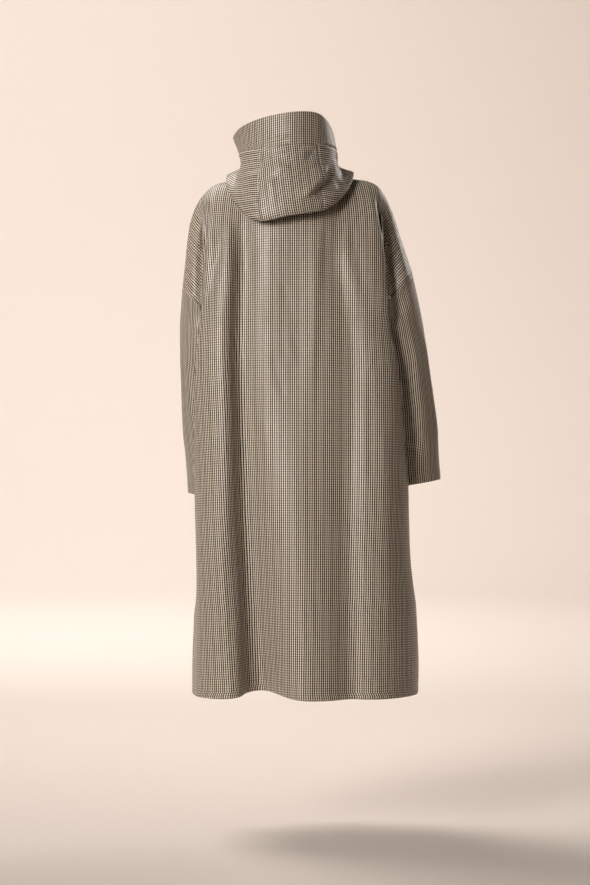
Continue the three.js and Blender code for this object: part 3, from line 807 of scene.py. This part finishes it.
def spread(*stops):
    # rows of a grid: each stop is (value, steps to the next stop)
    values = []
    for (value, steps), (following, _) in zip(stops, stops[1:]):
        values += [mix(value, following, i / steps) for i in range(steps)]
    return values + [stops[-1][0]]


def turnShoulders(flat, rows, columns):
    # A dropped shoulder hangs turned down with the arm, so its check lies aslant, and the deep fold
    # beside it takes up the cloth that is left over.
    turned = flat.copy()
    for sign in (1, -1):
        share = columns * sign
        if share.max() < 0.9:
            continue
        pivot = flat[int(np.argmin(np.abs(rows - 0.08))), int(np.argmin(np.abs(share - 0.69)))]
        onShoulder = ease((share - 0.66) / 0.08)[None] * (1 - ease((rows - 0.72) / 0.28))[:, None]
        angle = radians(coat["shoulderTurn"]) * onShoulder
        du, dv = flat[..., 0] - pivot[0], flat[..., 1] - pivot[1]
        inside = (share > 0.6)[None] & (rows < 1)[:, None]
        across = pivot[0] + du * np.cos(angle) + sign * dv * np.sin(angle)
        down = pivot[1] + dv * np.cos(angle) - sign * du * np.sin(angle)
        turned[..., 0] = np.where(inside, across, turned[..., 0])
        turned[..., 1] = np.where(inside, down, turned[..., 1])
    return turned


def panelFlat(base, rows, columns):
    rows, columns = np.array(rows), np.array(columns)
    rowPick = np.unique(np.linspace(0, len(rows) - 1, pressing["lines"]).astype(int))
    columnPick = np.linspace(0, len(columns) - 1, pressing["lines"]).astype(int)
    columnPick = np.unique(np.append(columnPick, np.argmin(np.abs(columns))))
    coarse = flatten(base[np.ix_(rowPick, columnPick)])
    flat = stretchGrid(coarse, rows[rowPick], columns[columnPick], rows, columns)
    return turnShoulders(flat, rows, columns)


def hemLevel(fromHem):
    return 2 - fromHem / (coat["hemDown"] - coat["underarmDown"])


bodyLevels = spread(
    (0, 4), (0.02, 4), (0.05, 54), (1, 92), (hemLevel(42), 9), (hemLevel(24), 5), (hemLevel(4), 3), (2, 0))
halfPlaces = spread((0, 58), (0.95, 6), (0.985, 5), (1, 0))


# the solids that stand for each panel, which is one cut piece of cloth
panelNodes = {
    "back": ["back_yoke", "back_shoulder_left", "back_shoulder_right", "back_skirt"],
    "front_left": ["front_left_yoke", "front_left_shoulder", "front_left_skirt"],
    "front_right": ["front_right_yoke", "front_right_shoulder", "front_right_skirt"],
}


def backPanel():
    columns = [-p for p in reversed(halfPlaces[1:])] + halfPlaces
    return clothPiece({
        "name": "back_cloth", "nodes": panelNodes["back"], "ripple": 0.7,
        "surface": lambda level, place: bodyPoint("back", place, level),
        "rows": bodyLevels, "columns": columns, "flat": panelFlat, "creases": bodyCreases,
        "edges": {"top": "seam", "bottom": "hem", "start": "sideSeam", "end": "sideSeam"},
    })


def frontPanel(side):
    overlap = coat["overlapHalf"] / 400

    def surface(level, column):
        point = bodyPoint("front", -column, level)
        if side == "left":
            past = (point.x - coat["overlapHalf"] - 6) / coat["overlapRamp"]
            rise = coat["overlapStep"] * (1 - ease(past))
            step = 0.004

            def near(across, down):
                return bodyPoint("front", -column + across, level + down)

            acrossStep = near(-step, 0) - near(step, 0)
            downStep = near(0, step) - near(0, max(-level, -step))
            point += acrossStep.cross(downStep).normalized() * rise
        return point

    places = spread((-overlap, 3), (-overlap + 0.008, 8), (0.1, 50), (0.95, 6), (0.985, 5), (1, 0))
    columns = [-p for p in reversed(places)] if side == "left" else places
    edge, seam = ("end", "start") if side == "left" else ("start", "end")
    return clothPiece({
        "name": f"front_{side}_cloth", "nodes": panelNodes["front_" + side], "ripple": 1.6,
        "surface": surface, "rows": bodyLevels, "columns": columns,
        "flat": panelFlat, "creases": bodyCreases,
        "edges": {"top": "seam", "bottom": "hem", seam: "sideSeam", edge: "frontEdge"},
    })


def unrolled(base, columns):
    # lengths across the piece from its middle column, and down it
    middle = int(np.argmin(np.abs(columns)))
    across = lengthsAlong(base, 1)
    return across - across[:, middle:middle + 1], lengthsAlong(base, 0)


def sleeveFlat(base, rows, columns):
    return np.stack(unrolled(base, columns), axis=2)


def sleeve(side):
    turns = spread((-pi, 4), (-3.05, 88), (3.05, 4), (pi, 0))
    if side == "left":
        turns = turns[::-1]
    return clothPiece({
        "name": f"sleeve_{side}_cloth", "nodes": [f"sleeve_{side}"], "ripple": 1.2,
        "surface": lambda place, turn: sleevePoint(side, place, turn),
        "rows": spread((0, 5), (0.02, 46), (0.9, 14), (0.96, 8), (1, 0)),
        "columns": turns, "flat": sleeveFlat, "creases": bodyCreases,
        "edges": {"top": "seam", "bottom": "cuff", "start": "seam", "end": "seam"},
    })


def hoodFlat(turned, lean):
    def flat(base, rows, columns):
        across, down = unrolled(base, columns)
        k, m = cos(radians(lean)), sin(radians(lean))
        pair = (across * k + down * m, down * k - across * m)
        return np.stack(pair[::-1] if turned else pair, axis=2)
    return flat


def hoodPiece(name, turns, places, edges, turned=False, topstitch=(), lean=0):
    return clothPiece({
        "name": name + "_cloth", "nodes": [name], "ripple": 0.7,
        "surface": lambda row, turn: hoodPoint(turn, -row),
        "rows": [-place for place in places], "columns": turns, "flat": hoodFlat(turned, lean),
        "creases": hoodCreases, "edges": edges, "topstitch": {"top": topstitch},
    })


def linear(code):
    values = [int(code[i:i + 2], 16) / 255 for i in (1, 3, 5)]
    return [v / 12.92 if v <= 0.04045 else ((v + 0.055) / 1.055) ** 2.4 for v in values] + [1]


def addNode(tree, kind, inputs=None, **settings):
    node = tree.nodes.new("ShaderNode" + kind)
    for name, value in settings.items():
        setattr(node, name, value)
    for name, value in (inputs or {}).items():
        if isinstance(value, bpy.types.NodeSocket):
            tree.links.new(value, node.inputs[name])
        else:
            node.inputs[name].default_value = value
    return node


def newMaterial(name, **shader):
    material = bpy.data.materials.new(name)
    material.use_nodes = True
    tree = material.node_tree
    tree.nodes.clear()
    surface = addNode(tree, "BsdfPrincipled", shader)
    addNode(tree, "OutputMaterial", {"Surface": surface.outputs[0]})
    return material, tree, surface


cloth = {
    "warpPeriod": 4.9,  # one light and one dark line of the check, across the cloth
    "weftPeriod": 5.3,
    "light": "#F3E6D2",
    "cream": "#DED0BA",
    "dark": "#0B0602",
    "olive": "#1F1708",
    "mauve": "#211514",
    "weftLight": "#FFFFFF",
    "weftDark": "#0A0808",
    "weftShade": 0.54,  # how far a dark weft line darkens what it crosses
    "yarn": 0.8,  # one yarn, drawn at twice its real width so that it holds at the photo's distance
    "rubbed": "#A2937B",
    "bare": "#6B6253",  # the uncoated reverse is duller
}


def calculate(tree, operation, *values):
    return addNode(tree, "Math", dict(enumerate(values)), operation=operation).outputs[0]


def remap(tree, *values):
    # a value from its low and high to a new low and high
    return addNode(tree, "MapRange", dict(enumerate(values))).outputs[0]


def blend(tree, kind, share, first, second):
    return addNode(tree, "Mix", {0: share, 6: first, 7: second}, data_type="RGBA", blend_type=kind).outputs[2]


def noiseOver(tree, place, scale, detail):
    # one number scales the noise evenly, three draw it out along the cloth
    if isinstance(scale, tuple):
        place = addNode(tree, "Mapping", {"Vector": place, "Scale": scale}).outputs[0]
        scale = 1
    return addNode(tree, "TexNoise", {"Vector": place, "Scale": scale, "Detail": detail}).outputs["Fac"]


def bump(tree, height, strength, distance=0.0001, **below):
    inputs = {"Height": height, "Strength": strength, "Distance": distance, **below}
    return addNode(tree, "Bump", inputs).outputs[0]


def stripes(tree, coordinate, period, colors):
    # a repeat of light and dark lines along one direction of the cloth
    repeat = period * len(colors) / 2
    turns = calculate(tree, "MULTIPLY", coordinate, 1000 / repeat)
    ramp = addNode(tree, "ValToRGB", {"Fac": calculate(tree, "FRACT", turns)})
    elements = ramp.color_ramp.elements
    ramp.color_ramp.interpolation = "CONSTANT"
    while len(elements) < len(colors):
        elements.new(0.5)
    for i, color in enumerate(colors):
        elements[i].position = i / len(colors)
        elements[i].color = linear(color)
    return ramp.outputs["Color"]


def weave(tree, place):
    # the check in the yarns' own colours, and the height of the weave
    parts = addNode(tree, "SeparateXYZ", {0: place})
    across, down = parts.outputs["X"], parts.outputs["Y"]
    warp = stripes(tree, across, cloth["warpPeriod"], [cloth[c] for c in (
        "light", "dark", "cream", "olive", "light", "dark", "light", "mauve")])
    weft = stripes(tree, down, cloth["weftPeriod"], [cloth["weftLight"], cloth["weftDark"]] * 2)
    color = blend(tree, "MULTIPLY", cloth["weftShade"], warp, weft)
    # slubs: each yarn a little lighter or darker along its length, drawn out across and down
    slubs = [noiseOver(tree, place, scale, 2) for scale in ((1300, 40, 1), (40, 1300, 1))]
    tone = remap(tree, calculate(tree, "ADD", *slubs), 0.7, 1.3, 0.93, 1.06)
    color = blend(tree, "MULTIPLY", 1, color, tone)
    # yarns over and under each other
    waves = []
    for coordinate in (across, down):
        turns = calculate(tree, "MULTIPLY", coordinate, 1000 * pi / cloth["yarn"])
        waves.append(calculate(tree, "SINE", turns))
    return color, calculate(tree, "MULTIPLY", *waves)


def clothMaterial(name, coated):
    skin = {"Coat Weight": 0.07, "Coat Roughness": 0.44} if coated else {"Sheen Weight": 0.25}
    material, tree, surface = newMaterial(name, **skin)
    place = addNode(tree, "UVMap", uv_map="cloth").outputs[0]
    color, yarns = weave(tree, place)
    rub = addNode(tree, "Attribute", attribute_name="edge").outputs["Fac"]
    color = blend(tree, "MIX", calculate(tree, "MULTIPLY", rub, 0.35), color, linear(cloth["rubbed"]))
    if not coated:
        color = blend(tree, "MIX", 0.25, color, linear(cloth["bare"]))
    tree.links.new(color, surface.inputs["Base Color"])
    # the coating lies unevenly, in long soft streaks down the cloth
    streaks = noiseOver(tree, place, (160, 24, 1), 3)
    low, high = (0.4, 0.52) if coated else (0.7, 0.85)
    tree.links.new(remap(tree, streaks, 0.3, 0.7, low, high), surface.inputs["Roughness"])
    yarnRelief = bump(tree, yarns, 0.06 if coated else 0.3)
    crinkle = bump(tree, streaks, 0.3, 0.0006, Normal=yarnRelief)
    tree.links.new(crinkle, surface.inputs["Normal"])
    return material


clothMaterials = [
    # yarn-dyed check with a thin clear coat: crisp lines, and a soft sheen that runs down the folds
    clothMaterial("coatedCottonCheck", True),
    # the same cloth from behind, where it has no coat: matt, with the weave felt more
    clothMaterial("bareCottonReverse", False),
]
print("materials made")

sheets = {"back": backPanel()}
print("back made")
for side in sideOf:
    sheets["front_" + side] = frontPanel(side)
    sheets["sleeve_" + side] = sleeve(side)
print("fronts and sleeves made")

crownPlaces = spread((5, 5), (4.9, 26), (3.4, 30), (2, 30), (0, 0))
brimPlaces = spread((6, 4), (5.93, 22), (5.06, 4), (5, 0))
panelTurn, frontTurn = hood["panelTurn"], hood["frontTurn"]
centerTurns = spread((-panelTurn, 3), (-panelTurn + 1.5, 26), (panelTurn - 1.5, 3), (panelTurn, 0))
leftTurns = spread((panelTurn, 3), (panelTurn + 1.5, 66), (frontTurn - 1.5, 3), (frontTurn, 0))
rightTurns = [-turn for turn in reversed(leftTurns)]
brimTurns = rightTurns[:-1] + centerTurns[:-1] + leftTurns
crownEdges = {"top": "seam", "bottom": "seam", "start": "seam", "end": "seam"}
crownStitch = (hood["topstitch"],)
sheets["hood_center"] = hoodPiece(
    "hood_center", centerTurns, crownPlaces, crownEdges, topstitch=crownStitch, lean=5)
for side, turns, edge in (("left", leftTurns, "end"), ("right", rightTurns, "start")):
    name = "hood_side_" + side
    sheets[name] = hoodPiece(
        name, turns, crownPlaces, {**crownEdges, edge: "frontEdge"}, turned=True, topstitch=crownStitch)
sheets["hood_brim"] = hoodPiece(
    "hood_brim", brimTurns, brimPlaces,
    {"top": "open", "bottom": "seam", "start": "frontEdge", "end": "frontEdge"})
print("hood made")


thread = {
    "color": "#8C8069",
    "between": "#5E5443",  # painted shade in the groove between the twisted plies
    "pitch": 3.4,
    "length": 2.5,
    "radius": 0.3,
    "sides": 5,
    "arch": 0.2,
    "sunk": 0.25,  # how deep a stitch's ends go
}


def threadMaterial():
    material, tree, surface = newMaterial("twistedPolyesterThread", Roughness=0.5)
    # the twist of the two plies: fine slanting lines, with painted shade in the grooves between them
    place = addNode(tree, "TexCoord").outputs["Object"]
    at = addNode(tree, "Mapping", {"Vector": place, "Rotation": (0.5, 0.6, 0.8)})
    twist = addNode(tree, "TexWave", {"Vector": at.outputs[0], "Scale": 900, "Distortion": 1.5})
    plies = twist.outputs["Fac"]
    # the darker colour between the plies is painted shade; the same lines also give the bump
    color = blend(tree, "MIX", plies, linear(thread["color"]), linear(thread["between"]))
    tree.links.new(color, surface.inputs["Base Color"])
    tree.links.new(bump(tree, plies, 0.4), surface.inputs["Normal"])
    return material


def startingAt(edge, grid):
    # the same grid with its first row along the named edge
    if edge in ("bottom", "end"):
        grid = grid[::-1] if edge == "bottom" else grid[:, ::-1]
    return grid.swapaxes(0, 1) if edge in ("start", "end") else grid


def stitchPlaces(name, edge, away, downFrom=-inf, downTo=inf):
    # where each stitch of a row lies: its middle, its direction and the cloth's normal
    _, outer, normals, _ = sheets[name]
    grid, turned = startingAt(edge, outer), startingAt(edge, normals)
    lengths = lengthsAlong(grid, 0)
    row = np.clip((lengths < away).sum(axis=0) - 1, 0, len(grid) - 2)
    pick = np.arange(grid.shape[1])
    k = ((away - lengths[row, pick]) / (lengths[row + 1, pick] - lengths[row, pick]))[:, None]
    path = mix(grid[row, pick], grid[row + 1, pick], k)
    upright = mix(turned[row, pick], turned[row + 1, pick], k)
    steps = np.concatenate(([0], np.cumsum(np.linalg.norm(np.diff(path, axis=0), axis=1))))
    at = np.arange(thread["pitch"], steps[-1] - thread["pitch"], thread["pitch"])

    def read(values, where):
        return np.stack([np.interp(where, steps, values[:, i]) for i in range(3)], 1)

    middle = read(path, at)
    forward = unit(read(path, at + 0.6) - read(path, at - 0.6))
    keep = (-middle[:, 2] > downFrom) & (-middle[:, 2] < downTo)
    return middle[keep], forward[keep], unit(read(upright, at))[keep]


def threadPiece(name, rows, material):
    # each stitch is a short arched bar whose ends go down into the cloth
    parts = [stitchPlaces(name, *row) for row in rows]
    middle, forward, upright = (np.concatenate([part[i] for part in parts]) for i in range(3))
    sideways = np.cross(forward, upright)
    sides, half = thread["sides"], thread["length"] / 2
    turns = [2 * pi * i / sides for i in range(sides)]
    shape = []
    for at, height, share in ((-half * 0.8, -0.02, 0.8), (0, thread["arch"], 1), (half * 0.8, -0.02, 0.8)):
        radius = share * thread["radius"]
        shape += [(at, height + radius * cos(turn), radius * sin(turn)) for turn in turns]
    shape += [(-half, -thread["sunk"], 0), (half, -thread["sunk"], 0)]
    offsets = np.array(shape)[None, :, :, None]
    axes = np.stack((forward, upright, sideways), axis=1)[:, None]
    vertices = (middle[:, None] + (offsets * axes).sum(axis=2)).reshape(-1, 3)
    faces = []
    for i in range(sides):
        j = (i + 1) % sides
        faces += [(i + ring, j + ring, j + ring + sides, i + ring + sides) for ring in (0, sides)]
        faces += [(j, i, 3 * sides), (i + 2 * sides, j + 2 * sides, 3 * sides + 1)]
    starts = [n * len(shape) for n in range(len(middle))]
    everyFace = [tuple(index + start for index in face) for start in starts for face in faces]
    made = makeMesh(name + "_thread", vertices, everyFace, [material])
    return made


hem, cuff, vent = coat["hemWidth"] - 2, coat["cuffHem"] - 2, coat["ventHem"] - 2
stitchedVent = (vent, coat["ventTopDown"] + 4, coat["hemDown"] - 34)
stitchRows = {
    "back": [("bottom", hem), ("start", *stitchedVent), ("end", *stitchedVent)],
    "front_left": [("bottom", hem), ("start", *stitchedVent), ("end", vent)],
    "front_right": [("bottom", hem), ("end", *stitchedVent), ("start", vent)],
    "sleeve_left": [("bottom", cuff)],
    "sleeve_right": [("bottom", cuff)],
    "hood_center": [("top", hood["topstitch"])],
    "hood_side_left": [("top", hood["topstitch"]), ("end", vent)],
    "hood_side_right": [("top", hood["topstitch"]), ("start", vent)],
    "hood_brim": [("top", vent)],
}
sewingThread = threadMaterial()
threads = {name: threadPiece(name, rows, sewingThread) for name, rows in stitchRows.items()}
print("stitches made")

snap = {
    "downs": (90, 240, 390, 540, 690, 840),
    "seat": 0.2,
    # the cap's section: a dished middle, a dome, a step and a rolled rim
    "profile": ((0, 2.5), (1.4, 2.52), (2, 2.7), (2.5, 2.92), (3.2, 2.94), (4.6, 2.76), (5.8, 2.4),
                (6.5, 2.02), (6.8, 1.7), (6.9, 1.5), (7.2, 1.52), (7.6, 1.42), (7.9, 1.1), (8, 0.7),
                (7.9, 0.3), (7.5, 0.05), (5, 0), (0, 0)),
    "sides": 48,
    "color": "#2B2520",
    "rubbed": "#4A4037",
}


def snapMaterial():
    # polyamide, moulded and tumbled: a satin skin with a fine grain, paler where the rim is handled
    material, tree, surface = newMaterial("mouldedPolyamideSnap", IOR=1.53)
    place = addNode(tree, "TexCoord").outputs["Object"]
    grain, cloud = noiseOver(tree, place, 1400, 3), noiseOver(tree, place, 160, 2)
    rim = addNode(tree, "Attribute", attribute_name="edge").outputs["Fac"]
    rub = calculate(tree, "MULTIPLY", rim, cloud)
    color = blend(tree, "MIX", rub, linear(snap["color"]), linear(snap["rubbed"]))
    tree.links.new(color, surface.inputs["Base Color"])
    tree.links.new(remap(tree, cloud, 0.3, 0.7, 0.3, 0.44), surface.inputs["Roughness"])
    tree.links.new(bump(tree, grain, 0.25), surface.inputs["Normal"])
    return material


def snapCap(number, down, material):
    _, outer, normals, _ = sheets["front_left"]
    away = np.hypot(outer[..., 0], outer[..., 2] + down)
    nearest = np.unravel_index(np.argmin(away), away.shape)
    normal = Vector(normals[nearest])
    turn = Vector((0, 0, 1)).rotation_difference(normal)
    seat = Vector(outer[nearest]) + normal * snap["seat"]
    profile, sides = snap["profile"], snap["sides"]
    rings = profile[1:-1]
    vertices = [seat + turn @ Vector((0, 0, profile[0][1]))]
    vertices += [seat + turn @ Vector((r * cos(2 * pi * i / sides), r * sin(2 * pi * i / sides), h))
                 for r, h in rings for i in range(sides)]
    vertices.append(seat)
    faces = []
    last = len(vertices) - 1
    for i in range(sides):
        j = (i + 1) % sides
        faces.append((0, 1 + i, 1 + j))
        for start in range(1, 1 + (len(rings) - 1) * sides, sides):
            faces.append((start + i, start + sides + i, start + sides + j, start + j))
        faces.append((last, last - sides + j, last - sides + i))
    # the rim's upper side is handled most
    handled = [1.0 if r > 7 and h > 0.6 else 0.15 for r, h in rings]
    edge = [0.0, *np.repeat(handled, sides), 0.0]
    cap = makeMesh(f"snap_cap_{number}", vertices, faces, [material], edge=edge)
    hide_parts(f"button_{number}")
    return cap


polyamide = snapMaterial()
snapCaps = [snapCap(i + 1, down, polyamide) for i, down in enumerate(snap["downs"])]
print("snaps made")


def sheetArea(outer):
    a, b, c, d = outer[:-1, :-1], outer[:-1, 1:], outer[1:, 1:], outer[1:, :-1]
    return 0.5 * np.linalg.norm(np.cross(c - a, d - b), axis=2).sum() * mm * mm


heldBy = {
    "back": ("hood_center", "front_left", "front_right"),
    "front_left": ("back", "hood_side_left"),
    "front_right": ("back", "hood_side_right"),
    "sleeve_left": ("back", "front_left"),
    "sleeve_right": ("back", "front_right"),
    "hood_center": ("back",),
    "hood_side_left": ("back", "front_left"),
    "hood_side_right": ("back", "front_right"),
    "hood_brim": ("hood_center", "hood_side_left", "hood_side_right"),
}
for name, (made, outer, normals, flat) in sheets.items():
    area = sheetArea(outer)
    restsOn = [node for other in heldBy[name] for node in panelNodes.get(other, [other])]

studio = {
    "floorDown": 1463,
    "wallAway": 9000,
    "cove": 2500,
    "wallTop": 5200,
    "centre": 1500,  # radius of the floor's flat middle disc
    "sides": 96,
    "paper": "#E8DED5",
    "cameraAway": 6500,
    "cameraDown": 383,
    "aimDown": 583.5,
    "middle": -7,
    "lens": 118,
}


def studioStage():
    # a round studio: pale floor, a round cove and the wall, wide enough for a camera on any side
    paint = {"Base Color": linear(studio["paper"]), "Roughness": 0.9}
    material, _, _ = newMaterial("mattStudioPaper", **paint)
    floor, wall, cove, steps = -studio["floorDown"], studio["wallAway"], studio["cove"], studio["sides"]
    profile = [(studio["centre"], floor), (wall - cove, floor)]
    for angle in (step * pi / 24 for step in range(1, 13)):
        profile.append((wall - cove + cove * sin(angle), floor + cove - cove * cos(angle)))
    profile.append((wall, studio["wallTop"]))
    turns = [2 * pi * i / steps for i in range(steps)]
    vertices = [(away * cos(t) * mm, away * sin(t) * mm, z * mm) for away, z in profile for t in turns]
    faces = [tuple(range(steps))]
    for start in range(0, (len(profile) - 1) * steps, steps):
        for i in range(steps):
            j = (i + 1) % steps
            faces.append((start + i, start + steps + i, start + steps + j, start + j))
    mesh = bpy.data.meshes.new("studio_paper")
    mesh.from_pydata(vertices, [], faces)
    mesh.materials.append(material)
    mesh.shade_smooth()
    addObject("studio_paper", mesh)


lamps = table(
    "name place aim size power spread color",
    # softboxes with grids, which keep their light off the floor in front of the coat
    ("window_left", (2.8, 4.0, 1.2), (0, 0, -0.45), (2.0, 2.0), 29, 58, "#F8F2EE"),
    ("front_soft", (-3.6, -4.2, 1.8), (0, 0, -0.6), (2.0, 2.0), 13, 70, "#FFF6F0"),
    # washes for the wall and the floor behind the coat, and for the wall on the other sides
    ("wall_wash", (1.4, -3.4, 3.4), (0.8, -9, -0.7), (3.0, 1.2), 190, 130, "#FFF9F6"),
    ("floor_wash", (2.0, -2.2, 3.2), (-0.2, -2.6, -1.46), (3.2, 2.4), 92, 110, "#FFF8F3"),
    ("near_wash", (0, 3.8, 3.6), (0, 9, -0.9), (3.0, 1.2), 28, 130, "#FFF6F0"),
    ("side_wash", (-3.8, 0, 3.6), (-9, 0, -0.9), (3.0, 1.2), 28, 130, "#FFF6F0"),
)
daylight = {"color": "#FFF1E4", "strength": 0.01}


def areaLight(name, place, aim, size, power, spread, color):
    # place, aim and size in metres, power in watts, spread in degrees
    light = bpy.data.lights.new(name, "AREA")
    light.shape = "RECTANGLE"
    light.size, light.size_y = size
    light.spread = radians(spread)
    light.energy = power
    light.color = linear(color)[:3]
    item = addObject(name, light)
    item.location = place
    item.rotation_euler = (Vector(aim) - Vector(place)).to_track_quat("-Z", "Y").to_euler()


def studioLights():
    world = bpy.data.worlds.new("studio")
    world.use_nodes = True
    background = world.node_tree.nodes["Background"]
    background.inputs["Color"].default_value = linear(daylight["color"])
    background.inputs["Strength"].default_value = daylight["strength"]
    bpy.context.scene.world = world
    for lamp in zip(*lamps.values()):
        areaLight(*lamp)


def studioCamera():
    data = bpy.data.cameras.new("camera")
    data.sensor_fit = "VERTICAL"
    data.sensor_height = 36
    data.lens = studio["lens"]
    item = addObject("camera", data)
    item.location = Vector((studio["middle"], studio["cameraAway"], -studio["cameraDown"])) * mm
    aim = Vector((studio["middle"], 0, -studio["aimDown"])) * mm
    item.rotation_euler = (aim - item.location).to_track_quat("-Z", "Y").to_euler()
    bpy.context.scene.camera = item


studioCamera()
studioStage()
studioLights()
bpy.context.scene.view_settings.view_transform = "Standard"
print("studio made")
